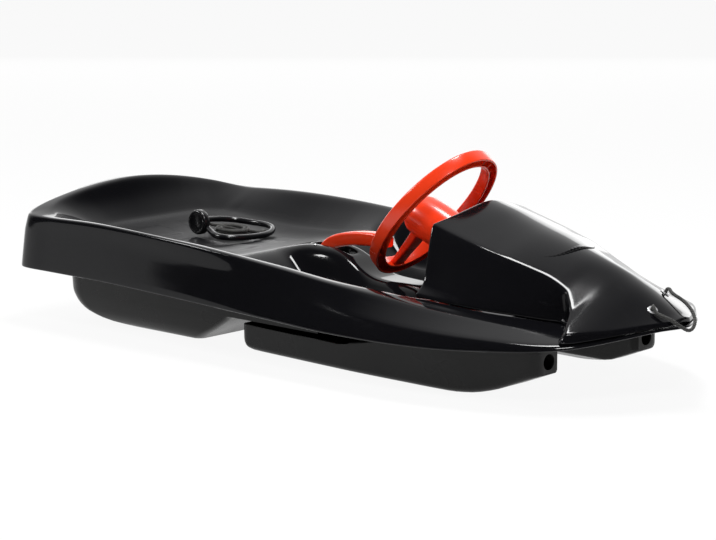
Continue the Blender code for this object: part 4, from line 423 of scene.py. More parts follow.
def from_frame(look, body, bevel, *nodes):
    """CAD nodes in their own shapes, with their edges rounded."""
    for node in nodes:
        bm = bmesh.new()
        bm.from_mesh(NODES[node].data)
        bmesh.ops.remove_doubles(bm, verts=bm.verts, dist=SAME_PLACE)
        bmesh.ops.dissolve_limit(bm, angle_limit=FLAT_ANGLE, use_dissolve_boundaries=False,
                                 verts=bm.verts, edges=bm.edges)
        piece(node + "_finish", to_mesh(bm), look, body, (node,), bevel)


# Materials

MATERIALS = {}
SCUFF_ROUGHNESS, RELIEF = 0.25, 0.0002
SEAT_FADE_X, SEAT_FADE_Y, SEAT_FADE_Z = (-0.14, -0.18), (0.20, 0.18), (0.158, 0.152)


def set_inputs(tree, node, inputs):
    """Gives each input its value, or a link from the socket that feeds it."""
    for key, value in inputs.items():
        if isinstance(value, bpy.types.NodeSocket):
            tree.links.new(value, node.inputs[key])
        else:
            node.inputs[key].default_value = value


def add_node(tree, kind, inputs, **settings):
    node = tree.nodes.new("ShaderNode" + kind)
    for key, value in settings.items():
        setattr(node, key, value)
    set_inputs(tree, node, inputs)
    return node


def new_material(name):
    """A material, its node tree and its shader."""
    mat = bpy.data.materials.new(name)
    mat.use_nodes = True
    return mat, mat.node_tree, mat.node_tree.nodes["Principled BSDF"]


def surface_group():
    """Shared group: fine moulding grain, broad unevenness and light scuffs."""
    group = bpy.data.node_groups.new("Moulded surface", "ShaderNodeTree")
    sockets = group.interface
    sockets.new_socket(name="Vector", in_out="INPUT", socket_type="NodeSocketVector")
    for name, value in (("Grain Scale", 900.0), ("Scuff Scale", 18.0), ("Scuff Amount", 0.5)):
        socket = sockets.new_socket(name=name, in_out="INPUT", socket_type="NodeSocketFloat")
        socket.default_value = value
    for name in ("Height", "Scuffs", "Unevenness"):
        sockets.new_socket(name=name, in_out="OUTPUT", socket_type="NodeSocketFloat")
    start, end = group.nodes.new("NodeGroupInput"), group.nodes.new("NodeGroupOutput")
    grain = add_node(group, "TexNoise", {"Vector": start.outputs["Vector"],
                                         "Scale": start.outputs["Grain Scale"], "Detail": 2.0})
    broad = add_node(group, "TexNoise", {"Vector": start.outputs["Vector"], "Scale": 14.0,
                                         "Detail": 1.0})
    stretch = add_node(group, "Mapping", {"Vector": start.outputs["Vector"],
                                          "Scale": (0.35, 6.0, 3.0), "Rotation": (0.2, 0.1, 0.5)})
    scratches = add_node(group, "TexNoise", {"Vector": stretch.outputs["Vector"],
                                             "Scale": start.outputs["Scuff Scale"],
                                             "Detail": 6.0, "Roughness": 0.7})
    ramp = add_node(group, "MapRange", {"Value": scratches.outputs["Fac"], "From Min": 0.60,
                                        "From Max": 0.74})
    amount = add_node(group, "Math", {0: ramp.outputs["Result"], 1: start.outputs["Scuff Amount"]},
                      operation="MULTIPLY")
    set_inputs(group, end, {"Height": grain.outputs["Fac"], "Scuffs": amount.outputs["Value"],
                            "Unevenness": broad.outputs["Fac"]})
    return group


def seat_mask(tree, place):
    """One on the seat's floor, fading to none at its walls."""
    apart = add_node(tree, "SeparateXYZ", {"Vector": place.outputs["Object"]})
    wide = add_node(tree, "Math", {0: apart.outputs["Y"]}, operation="ABSOLUTE")
    mask = None
    for source, fade in ((apart.outputs["Z"], SEAT_FADE_Z), (wide.outputs["Value"], SEAT_FADE_Y),
                         (apart.outputs["X"], SEAT_FADE_X)):
        edge = add_node(tree, "MapRange", {"Value": source, "From Min": fade[0],
                                           "From Max": fade[1]}).outputs["Result"]
        mask = edge if mask is None else add_node(tree, "Math", {0: mask, 1: edge},
                                                  operation="MULTIPLY").outputs["Value"]
    return mask


def plastic(group, name, colour, worn, roughness, grain, scuff, bump, shine=0.5, matt_seat=0.0):
    """Moulded plastic whose gloss and tint change a little over the surface."""
    mat, tree, shader = new_material(name)
    place = tree.nodes.new("ShaderNodeTexCoord")
    effect = tree.nodes.new("ShaderNodeGroup")
    effect.node_tree = group
    set_inputs(tree, effect, {"Vector": place.outputs["Object"], "Grain Scale": grain,
                              "Scuff Amount": scuff})
    tint = add_node(tree, "Mix", {}, data_type="RGBA")
    set_inputs(tree, tint, {"A": (*colour, 1.0), "B": (*worn, 1.0),
                            "Factor": effect.outputs["Scuffs"]})
    gloss = add_node(tree, "MapRange", {"Value": effect.outputs["Unevenness"], "From Min": 0.25,
                                        "From Max": 0.75, "To Min": roughness[0],
                                        "To Max": roughness[1]})
    rough = add_node(tree, "Math", {0: effect.outputs["Scuffs"], 1: SCUFF_ROUGHNESS,
                                    2: gloss.outputs["Result"]}, operation="MULTIPLY_ADD")
    if matt_seat:
        rough = add_node(tree, "Math", {0: seat_mask(tree, place), 1: matt_seat,
                                        2: rough.outputs["Value"]}, operation="MULTIPLY_ADD")
    relief = add_node(tree, "Bump", {"Strength": bump, "Distance": RELIEF,
                                     "Height": effect.outputs["Height"]})
    set_inputs(tree, shader, {"Specular IOR Level": shine, "Base Color": tint.outputs["Result"],
                              "Roughness": rough.outputs["Value"],
                              "Normal": relief.outputs["Normal"]})
    return mat


def cord_finish(name, colour):
    """Braided synthetic cord: fine fibres and a soft sheen."""
    mat, tree, shader = new_material(name)
    place = tree.nodes.new("ShaderNodeTexCoord")
    fibres = add_node(tree, "TexNoise", {"Vector": place.outputs["Object"], "Scale": 1500.0,
                                         "Detail": 3.0})
    tint = add_node(tree, "Mix", {}, data_type="RGBA")
    set_inputs(tree, tint, {"A": (*[c * 0.55 for c in colour], 1.0),
                            "B": (*[c * 1.8 for c in colour], 1.0),
                            "Factor": fibres.outputs["Fac"]})
    relief = add_node(tree, "Bump", {"Strength": 0.5, "Distance": RELIEF,
                                     "Height": fibres.outputs["Fac"]})
    set_inputs(tree, shader, {"Roughness": 0.62, "Sheen Weight": 0.25,
                              "Base Color": tint.outputs["Result"],
                              "Normal": relief.outputs["Normal"]})
    return mat


def finish(look):
    """The material of a look. The first call makes them all."""
    if not MATERIALS:
        colours = bpy.context.scene.snow_bob_colours
        group = surface_group()
        shell, steel, dark = tuple(colours.shell), tuple(colours.steel), (0.02, 0.02, 0.021)
        for key, *values in (
                ("shell", "Gloss black shell", shell, dark, (0.05, 0.10), 700.0, 0.15, 0.03, 0.2, 0.30),
                ("cowl", "Gloss black cowl", shell, dark, (0.06, 0.12), 700.0, 0.15, 0.03, 0.2),
                ("runner", "Satin black runner", tuple(colours.runner), (0.016, 0.016, 0.017),
                 (0.24, 0.36), 900.0, 0.5, 0.10, 0.2),
                ("badge", "Black badge", shell, dark, (0.07, 0.12), 1200.0, 0.1, 0.03),
                ("red", "Red-orange plastic", tuple(colours.wheel), (0.85, 0.12, 0.03), (0.20, 0.30),
                 1100.0, 0.3, 0.06),
                ("fitting", "Satin black fitting", (0.010, 0.010, 0.011), (0.03, 0.03, 0.03),
                 (0.25, 0.38), 1400.0, 0.4, 0.10),
                ("handle", "Black handle", (0.006, 0.006, 0.007), (0.02, 0.02, 0.02), (0.14, 0.24),
                 1300.0, 0.3, 0.06),
                ("steel", "Zinc plated steel", steel, tuple(c * 0.55 for c in steel), (0.22, 0.42),
                 500.0, 0.6, 0.12)):
            MATERIALS[key] = plastic(group, *values)
        metal = MATERIALS["steel"].node_tree.nodes["Principled BSDF"]
        metal.inputs["Metallic"].default_value = 1.0
        MATERIALS["cord"] = cord_finish("Braided black cord", tuple(colours.cord))
    return MATERIALS[look]


# Shell

def crown(x, y):
    side = max(0.0, 1.0 - (abs(y) / CROWN_HALF) ** CROWN_POWER)
    return CROWN_RISE * side * smooth(CROWN_X[0], CROWN_X[1], x)


def floor_z(x, y):
    """Seat, hump, console and floor as one height field."""
    low = value_at(SEAT_Z, x)
    high = max(low, value_at(HUMP_Z, x))
    return high + (low - high) * smooth(HUMP_FLAT, HUMP_FOOT, abs(y))


def pad_z(x, y, rise):
    along = min(abs(x - row) for row in PAD_ROWS)
    across = abs(abs(y) - (PAD_INNER_Y + PAD_OUTER_Y) / 2)
    inside = (along < (PAD_LENGTH - PAD_SLOPE) / 2
              and across < (PAD_OUTER_Y - PAD_INNER_Y - PAD_SLOPE) / 2)
    return rise if inside else 0.0


def ring_z(ring, x, y):
    foot = floor_z(x, y) + FOOT_RISE
    mouth = value_at(MOUTH_Z, x) + crown(x, y)
    return (value_at(SKIRT_Z, x), value_at(CREASE_Z, x), value_at(RIM_Z, x) + crown(x, y), mouth,
            (foot + mouth) / 2, foot)[ring]


def shell_rows():
    """Grid lines across the shell: pad edges, slot edges and even steps between them."""
    marks = [FLOOR_REAR]
    for row in PAD_ROWS:
        for side in (-1, 1):
            edge = row + side * PAD_LENGTH / 2
            marks += sorted((edge, edge - side * PAD_SLOPE))
    marks += [SEAT_FRONT, *LEVER_SLOT_X, *HUMP_END_X, COWL_REAR, *COLUMN_SLOT_X, FLOOR_FRONT]
    marks.sort()
    rows = []
    for low, high in zip(marks, marks[1:]):
        rows += filled(low, high, ROW_STEP)
    return rows + [marks[-1]]


HALF_COLUMNS = [0.0, LEVER_SLOT_Y, PAD_INNER_Y, PAD_INNER_Y + PAD_SLOPE, HUMP_FLAT + 0.004, 0.045,
                HUMP_FOOT, 0.071, PAD_OUTER_Y - PAD_SLOPE, PAD_OUTER_Y, 0.102, FLOOR_HALF]


def half_ring(ring, rows):
    """Plan points of one ring round the left half, from the rear middle to the nose middle."""
    line = PLANS[ring]
    points = []
    for column in HALF_COLUMNS:
        x, y, start = crossing(line, column * REAR_SPAN[ring] / FLOOR_HALF, 1)
        points.append((x, y))
    stop = crossing(line, rows[0], 0)[2]
    steps = 2 * FRAMES
    points += [at_distance(line, start + (stop - start) * j / steps) for j in range(1, steps)]
    points += [crossing(line, x, 0)[:2] for x in rows]
    start = crossing(line, rows[-1], 0)[2]
    stop = crossing(line, NOSE_SPAN[ring], 1, True)[2]
    points += [at_distance(line, start + (stop - start) * j / steps) for j in range(1, steps)]
    points += [crossing(line, column * NOSE_SPAN[ring] / FLOOR_HALF, 1, True)[:2]
               for column in reversed(HALF_COLUMNS)]
    return points


def whole_ring(half):
    """A half ring of points and its mirror image, as one loop."""
    return half + mirrored(half[1:-1])


def shell_mesh(pad_rise):
    """The seat, floor, walls, rim and skirt as one skin, cut open at its slots."""
    rows = shell_rows()
    columns = [-y for y in reversed(HALF_COLUMNS[1:])] + HALF_COLUMNS
    across, along = len(columns) + 2 * FRAMES, len(rows) + 2 * FRAMES
    bases = [[Vector((x, y, ring_z(ring, x, y))) for x, y in half_ring(ring, rows)]
             for ring in range(len(PLANS))]
    bm, grid = numbered_grid(along, across)
    middle, last_s, last_t = across // 2, along - 1, across - 1
    count = len(HALF_COLUMNS)

    def half_keys(frame_no):
        """Grid keys of one frame round the left half, with the share of each along its run."""
        low_s, high_s, high_t = frame_no, last_s - frame_no, last_t - frame_no
        inner_t, first, last = last_t - FRAMES, FRAMES, last_s - FRAMES
        keys = [((low_s, middle + k), ("rear", k)) for k in range(count)]
        corner = 2 * (FRAMES - frame_no)
        for j in range(1, corner):
            key = ((low_s, inner_t + j) if j <= corner // 2
                   else (low_s + j - corner // 2, high_t))
            keys.append((key, ("rear corner", j / corner)))
        keys += [((s, high_t), ("side", s - FRAMES)) for s in range(first, last + 1)]
        for j in range(1, corner):
            key = ((last + j, high_t) if j <= corner // 2
                   else (high_s, high_t - (j - corner // 2)))
            keys.append((key, ("nose corner", j / corner)))
        keys += [((high_s, middle + k), ("nose", k)) for k in reversed(range(count))]
        return keys

    foot = bases[-1]
    side_start = count + 2 * FRAMES - 1
    side_end = side_start + len(rows)
    nose_start = side_end + 2 * FRAMES - 1

    def foot_point(kind, where):
        if kind == "rear":
            return foot[where]
        if kind == "side":
            return foot[side_start + where]
        if kind == "nose":
            return foot[nose_start + count - 1 - where]
        start = count - 1 if kind == "rear corner" else side_end - 1
        place = where * 2 * FRAMES
        low = int(place)
        return foot[start + low].lerp(foot[min(start + low + 1, len(foot) - 1)], place - low)

    squeeze = [min(1.0, (crossing(PLANS[-1], x, 0)[1] - FLOOR_MARGIN) / FLOOR_HALF) for x in rows]

    def grid_point(kind, where):
        for name, end in (("rear", 0), ("nose", -1)):
            if kind.startswith(name):
                k = where if kind == name else count - 1
                return rows[end], HALF_COLUMNS[k] * squeeze[end]
        return rows[where], FLOOR_HALF * squeeze[where]

    for frame_no in range(FRAMES + 1):
        share = frame_no / FRAMES
        for (s, t), (kind, where) in half_keys(frame_no):
            outer, inner = foot_point(kind, where), grid_point(kind, where)
            x = outer.x + (inner[0] - outer.x) * share
            y = outer.y + (inner[1] - outer.y) * share
            z = floor_z(x, y) + FOOT_RISE * (1.0 - share) ** 2
            grid[s, t].co = (x, y, z)
            grid[s, last_t - t].co = (x, -y, z)
    for s in range(FRAMES, last_s - FRAMES + 1):
        for t in range(FRAMES, last_t - FRAMES + 1):
            x = rows[s - FRAMES]
            y = columns[t - FRAMES] * squeeze[s - FRAMES]
            grid[s, t].co = (x, y, floor_z(x, y) + pad_z(x, y, pad_rise))

    sections = [rounded([base[k] for base in reversed(bases)], SHELL_CORNERS)
                for k in range(len(foot))]
    loop = [grid[key] for key, _ in half_keys(0)]
    loop += [grid[s, last_t - t] for (s, t), _ in reversed(half_keys(0)[1:-1])]
    length = len(sections[0])
    for ring in range(1, length):
        half = [section[ring] for section in sections]
        if ring == length - 1:
            hem = []
            for low, high in ((section[ring], section[ring - 1]) for section in sections):
                hem.append(low.lerp(high, min(0.4, HEM / max(1e-6, (low - high).length))))
            loop = extruded(bm, loop, whole_ring(hem))
        loop = extruded(bm, loop, whole_ring(half))
    cut_slots(bm)
    face_up(bm, min(bm.faces, key=lambda face: (face.calc_center_median() - CONSOLE_TOP).length))
    return to_mesh(bm)


def cut_slots(bm):
    """Takes out the faces where the lever and the steering column pass through."""
    gone = []
    for (low, high), half in ((LEVER_SLOT_X, LEVER_SLOT_Y), (COLUMN_SLOT_X, COLUMN_SLOT_Y)):
        for face in bm.faces:
            centre = face.calc_center_median()
            if low < centre.x < high and abs(centre.y) < half and centre.z < SLOT_TOP:
                gone.append(face)
    bmesh.ops.delete(bm, geom=gone, context="FACES")


def make_shell():
    sizes = bpy.context.scene.snow_bob_sizes
    piece("shell", shell_mesh(sizes.pad_rise), "shell", "sled", ("hull",),
          wall=sizes.shell_wall, levels=1)


# Cowl

def cowl_top(x, y):
    """Height of the cowl's upper face between its shoulders."""
    reach = (math.hypot(y, HOOD_SOFT) - HOOD_SOFT) / (math.hypot(HOOD_UNIT, HOOD_SOFT) - HOOD_SOFT)
    share = reach ** (value_at(HOOD_POWER, x) * HOOD_SOFT_SHARE)
    return value_at(RIDGE_Z, x) - value_at(HOOD_DROP, x) * share


def deck_z(x, y):
    """Height of the shell's deck between the mouth and the crease."""
    lines = [crossing(PLANS[k], x, 0)[1] for k in (3, 2, 1)]
    heights = (value_at(MOUTH_Z, x), value_at(RIM_Z, x), value_at(CREASE_Z, x))
    if y <= lines[0]:
        return heights[0]
    for k in (0, 1):
        if y <= lines[k + 1]:
            u = (y - lines[k]) / (lines[k + 1] - lines[k])
            return heights[k] + (heights[k + 1] - heights[k]) * u
    return heights[2]


def cowl_half(x):
    """Points of one station from the ridge to the foot."""
    lip_y = crossing(PLANS[1], x, 0)[1] - LIP_INSET
    lip_z = value_at(CREASE_Z, x) + LIP_GAP
    shoulder_y = min(value_at(SHOULDER_Y, x), lip_y - LIP_STEP)
    top = [Vector((shoulder_y * k / 10, cowl_top(x, shoulder_y * k / 10))) for k in range(10)]
    shoulder = Vector((shoulder_y, cowl_top(x, shoulder_y)))
    closing = min(1.0, max(0.0, (x - FOOT_CLOSING[0]) / (FOOT_CLOSING[1] - FOOT_CLOSING[0])))
    open_foot = value_at(RECESS_FOOT_Y, x)
    foot_y = open_foot + (lip_y - open_foot) * closing
    foot_z = deck_z(x, foot_y) + DECK_GAP + (LIP_GAP - DECK_GAP) * closing
    if closing >= 1.0:
        foot_z = lip_z
    height = shoulder.y - foot_z
    step = smooth(RECESS_EDGE[0], RECESS_EDGE[1], x)
    walls = []
    for plan, share, level in WALL_LEVELS:
        straight = shoulder_y + (foot_y - shoulder_y) * share
        across = value_at(plan, x)
        walls.append(Vector((across + (straight - across) * step, foot_z + level * height)))
    foot = Vector((foot_y, foot_z + min(FOOT_BAND, height * FOOT_BAND_SHARE)))
    edge = [top[-1], shoulder, *walls, foot, Vector((foot_y, foot_z))]
    line = top[:-1] + rounded(edge, COWL_CORNERS)
    bow = REAR_BOW * (1.0 - smooth(COWL_REAR, REAR_BOW_END, x))
    placed = []
    for k, point in enumerate(line):
        reach = min(1.0, point.x / shoulder_y) ** 2
        if k > len(top):
            reach *= max(0.0, (point.y - foot_z) / height)
        placed.append(Vector((x - bow * reach, point.x, point.y)))
    return placed


def make_cowl():
    stations = []
    for low, high, step in zip(COWL_MARKS, COWL_MARKS[1:], COWL_STEPS):
        stations += filled(low, high, step)
    stations.append(COWL_TIP)
    rows = []
    for x in stations:
        half = cowl_half(x)
        rows.append(half[::-1] + mirrored(half[:0:-1]))
    bm, grid = numbered_grid(len(rows), len(rows[0]))
    for (s, t), v in grid.items():
        v.co = rows[s][t]
    last = [v for (s, t), v in grid.items() if s == len(rows) - 1]
    bmesh.ops.contextual_create(bm, geom=[e for e in bm.edges if e.is_boundary
                                          and all(v in last for v in e.verts)] + last)
    face_up(bm, max(bm.faces, key=lambda face: face.calc_center_median().z))
    piece("cowl", to_mesh(bm), "cowl", "sled", ("front_cowl",),
          wall=bpy.context.scene.snow_bob_sizes.shell_wall, levels=1)
    make_badge()


def make_badge():
    """A bare oval plate with a rounded edge on the cowl."""
    bm = bmesh.new()
    bmesh.ops.create_circle(bm, cap_ends=True, segments=64, radius=1.0)
    for depth in BADGE_INSETS:
        inner = min(bm.faces, key=lambda face: face.calc_center_median().length)
        bmesh.ops.inset_region(bm, faces=[inner], thickness=depth, use_even_offset=True)
    for v in bm.verts:
        share = min(1.0, v.co.length)
        x = BADGE_X + BADGE_HALF[0] * v.co.x
        y = BADGE_HALF[1] * v.co.y
        lift = BADGE_LIFT * smooth(BADGE_X, BADGE_X + BADGE_HALF[0], x)
        edge = BADGE_EDGE * smooth(BADGE_ROUND_FROM, 1.0, share)
        v.co = (x, y, cowl_top(x, y) + BADGE_TOP + lift - edge)
    face_up(bm, next(iter(bm.faces)))
    piece("badge", to_mesh(bm), "badge", "sled", ("badge_plate",), wall=BADGE_WALL, levels=1)


# Runner box under the seat

BOX_REAR = [
    (0.0, -0.452), (0.002, -0.486), (0.008, -0.520), (0.018, -0.546), (0.030, -0.560), (0.050, -0.569),
    (0.118, -0.572)]
BOX_FRONT = [
    (0.0, -0.252), (0.010, -0.234), (0.025, -0.206), (0.040, -0.181), (0.047, -0.170), (0.0515, -0.1605),
    (0.118, -0.1605)]
BOX_HALF = [
    (0.0, 0.147), (0.003, 0.152), (0.010, 0.157), (0.020, 0.161), (0.0515, 0.1655), (0.118, 0.1665)]
BOX_TOP = 0.118
BOX_LEVELS = (
    0.0, 0.0012, 0.003, 0.006, 0.010, 0.0145, 0.019, 0.0245, 0.030, 0.035, 0.040, 0.0435, 0.047, 0.0515,
    0.060, 0.070, 0.118)
BOX_CORNER, BOX_FRONT_CORNER = 0.046, 0.014
BOX_SCREWS = [(x, y) for x in (-0.450, -0.305) for y in (-0.112, 0.112)]
CLAW_SLOT_X, CLAW_SLOT_HALF = (-0.244, -0.140), 0.0195
RAIL_X, RAIL_Y, RAIL_Z = (-0.200, 0.030), (0.1600, 0.1660), (0.0515, 0.0885)
SHEET = 0.003
TUBE_R, WELL_R, TUBE_TOP, WELL_ROOF, SCREW_HOLE = 0.0115, 0.0078, 0.117, 0.006, 0.0024
SCREW_HOLE_LOW, SCREW_HOLE_LENGTH, LEAST_CORNER = 0.05, 0.10, 0.004


def box_ring(z, inset, turns=10):
    """Plan outline of the runner box at one height, with round corners."""
    front = value_at(BOX_FRONT, z) - inset
    rear = value_at(BOX_REAR, z) + inset
    half = value_at(BOX_HALF, z) - inset
    level = z + (inset if z < BOX_TOP else 3 * inset)
    points = []
    corners = ((front, -half, BOX_FRONT_CORNER, -90), (front, half, BOX_FRONT_CORNER, 0),
               (rear, half, BOX_CORNER, 90), (rear, -half, BOX_CORNER, 180))
    for x, y, radius, start in corners:
        radius = max(LEAST_CORNER, radius - inset)
        cx = x - math.copysign(radius, x - (front + rear) / 2)
        cy = y - math.copysign(radius, y)
        for k in range(turns + 1):
            angle = math.radians(start + 90 * k / turns)
            points.append(Vector((cx + radius * math.cos(angle), cy + radius * math.sin(angle),
                                  level)))
    return points


def make_runner_box():
    outer, inner = ([box_ring(z, inset) for z in BOX_LEVELS] for inset in (0.0, SHEET))
    steps = [(lofted(inner), False),
             (block((CLAW_SLOT_X[0], -CLAW_SLOT_HALF, -PAST),
                    (CLAW_SLOT_X[1], CLAW_SLOT_HALF, BOX_TOP + PAST)), False)]
    for low, high in (RAIL_Y, (-RAIL_Y[1], -RAIL_Y[0])):
        steps.append((block((RAIL_X[0], low, RAIL_Z[0]), (RAIL_X[1], high, RAIL_Z[1])), True))
    for x, y in BOX_SCREWS:
        steps.append((rod((x, y, SHEET / 2), UP, TUBE_TOP - SHEET / 2, TUBE_R), True))
    for x, y in BOX_SCREWS:
        steps.append((rod((x, y, -PAST), UP, PAST + TUBE_TOP - WELL_ROOF, WELL_R), False))
        steps.append((rod((x, y, SCREW_HOLE_LOW), UP, SCREW_HOLE_LENGTH, SCREW_HOLE, 16), False))
    piece("runner_box", worked(lofted(outer), *steps), "runner", "sled", ("rear_runner_box",),
          sharp=38)


# Front ski

SKI_REAR, SKI_FRONT, SKI_INNER_Y, SKI_GAP_Y, SKI_TOP = -0.153, 0.448, 0.100, 0.0994, 0.0785
SKI_INNER_RISE, SKI_BRIDGE_SHOULDER, SKI_BRIDGE_THICK = 0.018, 0.012, 0.006
SKI_OUTER_Y = [
    (-0.153, 0.152), (-0.09, 0.156), (0.0, 0.161), (0.13, 0.166), (0.24, 0.166), (0.30, 0.164),
    (0.38, 0.158), (0.448, 0.150)]
SKI_SIDE_TOP = [
    (-0.153, 0.0405), (0.07, 0.0405), (0.10, 0.0455), (0.14, 0.053), (0.17, 0.060), (0.215, 0.0775),
    (0.448, 0.0775)]
SKI_MID_TOP = [(-0.153, 0.0405), (0.085, 0.0405), (0.112, SKI_TOP), (0.448, SKI_TOP)]
SKI_RISE = [
    (-0.153, 0.030), (-0.148, 0.010), (-0.138, 0.002), (-0.12, 0.0), (0.29, 0.0), (0.33, 0.003),
    (0.37, 0.012), (0.41, 0.027), (0.448, 0.042)]
SKI_CORNER, SKI_EDGE, SKI_SHEET = 0.014, 0.009, 0.0035
BRIDGE_REAR, BRIDGE_UNDER, TRAY_X, TRAY_UNDER, TRAY_TOP = 0.114, 0.0725, 0.225, 0.0445, 0.048
TRAY_FRONT = 0.335
SKI_STATIONS = (
    SKI_REAR, -0.1522, -0.1505, -0.148, -0.145, -0.1415, -0.138, -0.132, -0.125, -0.11, -0.09,
    -0.04, 0.0, 0.04, 0.07, 0.085, 0.092, 0.10, 0.112, 0.125, 0.14, 0.155, 0.17, 0.185, 0.20, 0.215,
    TRAY_X - 0.0045, TRAY_X, 0.24, 0.27, 0.29, 0.305, 0.32, 0.335, 0.35, 0.365, 0.38, 0.395, 0.41,
    0.422, 0.430, 0.436, 0.4405, 0.4440, 0.4465, SKI_FRONT)
HOLLOW_STATIONS = (
    SKI_REAR + SKI_SHEET, -0.146, -0.14, -0.13, -0.12, -0.09, -0.04, 0.0, 0.05, 0.09, 0.13, 0.18,
    0.24, 0.29, 0.31, 0.33, 0.35, 0.37, 0.39, 0.41, 0.43, SKI_FRONT - SKI_SHEET)
MOUTH_Y, MOUTH_MID_Z, MOUTH_HALF = 0.119, 0.0605, (0.0125, 0.012)
PIN_SLOT_X, PIN_SLOT_HALF = (0.2640, 0.3050), 0.0074
KINGPIN_X, KINGPIN_HOLE_R = 0.160, 0.0065
KINGPIN_HOLE_LOW, KINGPIN_HOLE_LENGTH, TRAY_INSET = 0.05, 0.06, 0.002
SKI_INNER_EDGE, SKI_BRIDGE_INSET = 0.004, 0.003


def ski_half(x, bridge):
    """Points (y, z) of the ski's outline at one station, from its outer top to the middle."""
    low = value_at(SKI_RISE, x)
    ends = min(x - SKI_REAR, SKI_FRONT - x)
    corner = SKI_CORNER - math.sqrt(max(0.0, SKI_CORNER ** 2 - max(0.0, SKI_CORNER - ends) ** 2))
    outer = value_at(SKI_OUTER_Y, x) - corner
    middle = value_at(SKI_MID_TOP, x)
    inner = max(low, SKI_INNER_RISE)
    points = [(SKI_INNER_Y + SKI_BRIDGE_SHOULDER, middle), (outer, value_at(SKI_SIDE_TOP, x))]
    for k in range(8):
        angle = math.radians(90 * k / 7)
        points.append((outer - SKI_EDGE + SKI_EDGE * math.cos(angle),
                       low + SKI_EDGE - SKI_EDGE * math.sin(angle)))
    for k in range(4):
        angle = math.radians(90 * k / 3)
        points.append((SKI_INNER_Y + SKI_INNER_EDGE - SKI_INNER_EDGE * math.sin(angle),
                       inner + SKI_INNER_EDGE - SKI_INNER_EDGE * math.cos(angle)))
    return points + [(SKI_INNER_Y - SKI_BRIDGE_INSET, min(bridge, middle - SKI_BRIDGE_THICK))]


def runner_hollow(side):
    """The hollow inside one runner, open at the top."""
    inner = SKI_INNER_Y + SKI_SHEET
    rings = []
    for x in HOLLOW_STATIONS:
        low = value_at(SKI_RISE, x) + SKI_SHEET
        raised = max(low, SKI_INNER_RISE + SKI_SHEET)
        ends = min(x - SKI_REAR, SKI_FRONT - x) - SKI_SHEET
        outer = value_at(SKI_OUTER_Y, x) - SKI_SHEET - max(0.0, 0.008 - ends) / 2
        ring = [(inner, SKI_TOP + PAST), (inner, raised + 0.001), (inner + 0.002, raised),
                (outer - 0.006, low), (outer - 0.0015, low + 0.002), (outer, low + 0.007),
                (outer, SKI_TOP + PAST)]
        rings.append([Vector((x, y * side, z)) for y, z in ring])
    return lofted(rings)


def make_front_ski():
    rings = []
    for x in SKI_STATIONS:
        half = [Vector((x, *place)) for place in
                ski_half(x, TRAY_UNDER if x >= TRAY_X else BRIDGE_UNDER)]
        rings.append(half + mirrored(half))
    steps = [(block((SKI_REAR - PAST, -SKI_GAP_Y, -PAST),
                    (BRIDGE_REAR, SKI_GAP_Y, SKI_TOP + PAST)), False),
             (block((TRAY_X + SKI_SHEET, -SKI_INNER_Y + TRAY_INSET, TRAY_TOP),
                    (SKI_FRONT + PAST, SKI_INNER_Y - TRAY_INSET, SKI_TOP + PAST)), False),
             (block((TRAY_FRONT, -SKI_GAP_Y, -PAST),
                    (SKI_FRONT + PAST, SKI_GAP_Y, SKI_TOP + PAST)), False)]
    for side in (-1, 1):
        steps.append((runner_hollow(side), False))
        rings_out = []
        for x in (SKI_FRONT - 2 * PAST, SKI_FRONT + 2 * PAST):
            rings_out.append([Vector((x, side * (MOUTH_Y + MOUTH_HALF[0] * math.cos(a)),
                                      MOUTH_MID_Z + MOUTH_HALF[1] * math.sin(a)))
                              for a in (2 * math.pi * k / 32 for k in range(32))])
        steps.append((lofted(rings_out), False))
    steps.append((rod((KINGPIN_X, 0, KINGPIN_HOLE_LOW), UP, KINGPIN_HOLE_LENGTH,
                      KINGPIN_HOLE_R), False))
    steps.append((block((PIN_SLOT_X[0], -PIN_SLOT_HALF, TRAY_UNDER - 2 * PAST),
                        (PIN_SLOT_X[1], PIN_SLOT_HALF, TRAY_TOP + 2 * PAST)), False))
    piece("ski", worked(lofted(rings), *steps), "runner", "ski", ("front_ski",), sharp=38)


# Steering wheel

RING_HIGH, RING_WIDE, RING_RADIAL, RING_DEPTH, RING_WALL = 0.133, 0.100, 0.018, 0.022, 0.0032
RIB_SUNK, RIB_REACH, RIB_DEPTH = 0.0006, 0.11, RING_DEPTH - 0.009
RING_CORNERS = (0.0042, 0.0012, 0.0010, 0.0015, 0.0015, 0.0010, 0.0012, 0.0042)
COLUMN_R, RING_STEPS = 0.008, 96
HUB_LINE = (
    (0.0745, 0.2340, 0.006), (0.0765, 0.2330, 0.016), (0.082, 0.2312, 0.0245), (0.092, 0.2278, 0.0310),
    (0.106, 0.2230, 0.0340), (0.130, 0.2140, 0.0340), (0.155, 0.2035, 0.0340), (0.185, 0.1870, 0.0340))
HUB_R, HUB_BOLT_AT, HUB_BOLT_R, BOLT_BOSS_R = 0.034, 0.066, 0.0033, 0.0065
SPOKE_LINE = (
    (-0.122, 0.0035, 0.009, 0.013), (-0.090, 0.0035, 0.011, 0.0125), (-0.060, 0.004, 0.013, 0.014),
    (-0.030, 0.004, 0.015, 0.017))
SPOKE_CORNER = 0.0025
SLEEVE_START, SLEEVE_LENGTH, SLEEVE_WALL = 0.002, 0.082, 0.0045
COLUMN_HOLE_START, COLUMN_HOLE_LENGTH, COLUMN_GAP = 0.0094, 0.15, 0.0003
BOSS_SUNK, BOSS_SHORT, BOLT_HOLE_HALF = 0.002, 0.004, 0.06


def on_column(distance):
    return WHEEL_CENTRE + COLUMN_DIR * distance


def wheel_point(up, across, along):
    """A point in the wheel's own frame: up its long way, across it, along the column."""
    return WHEEL_CENTRE + WHEEL_UP * up + SIDE * across + COLUMN_DIR * along


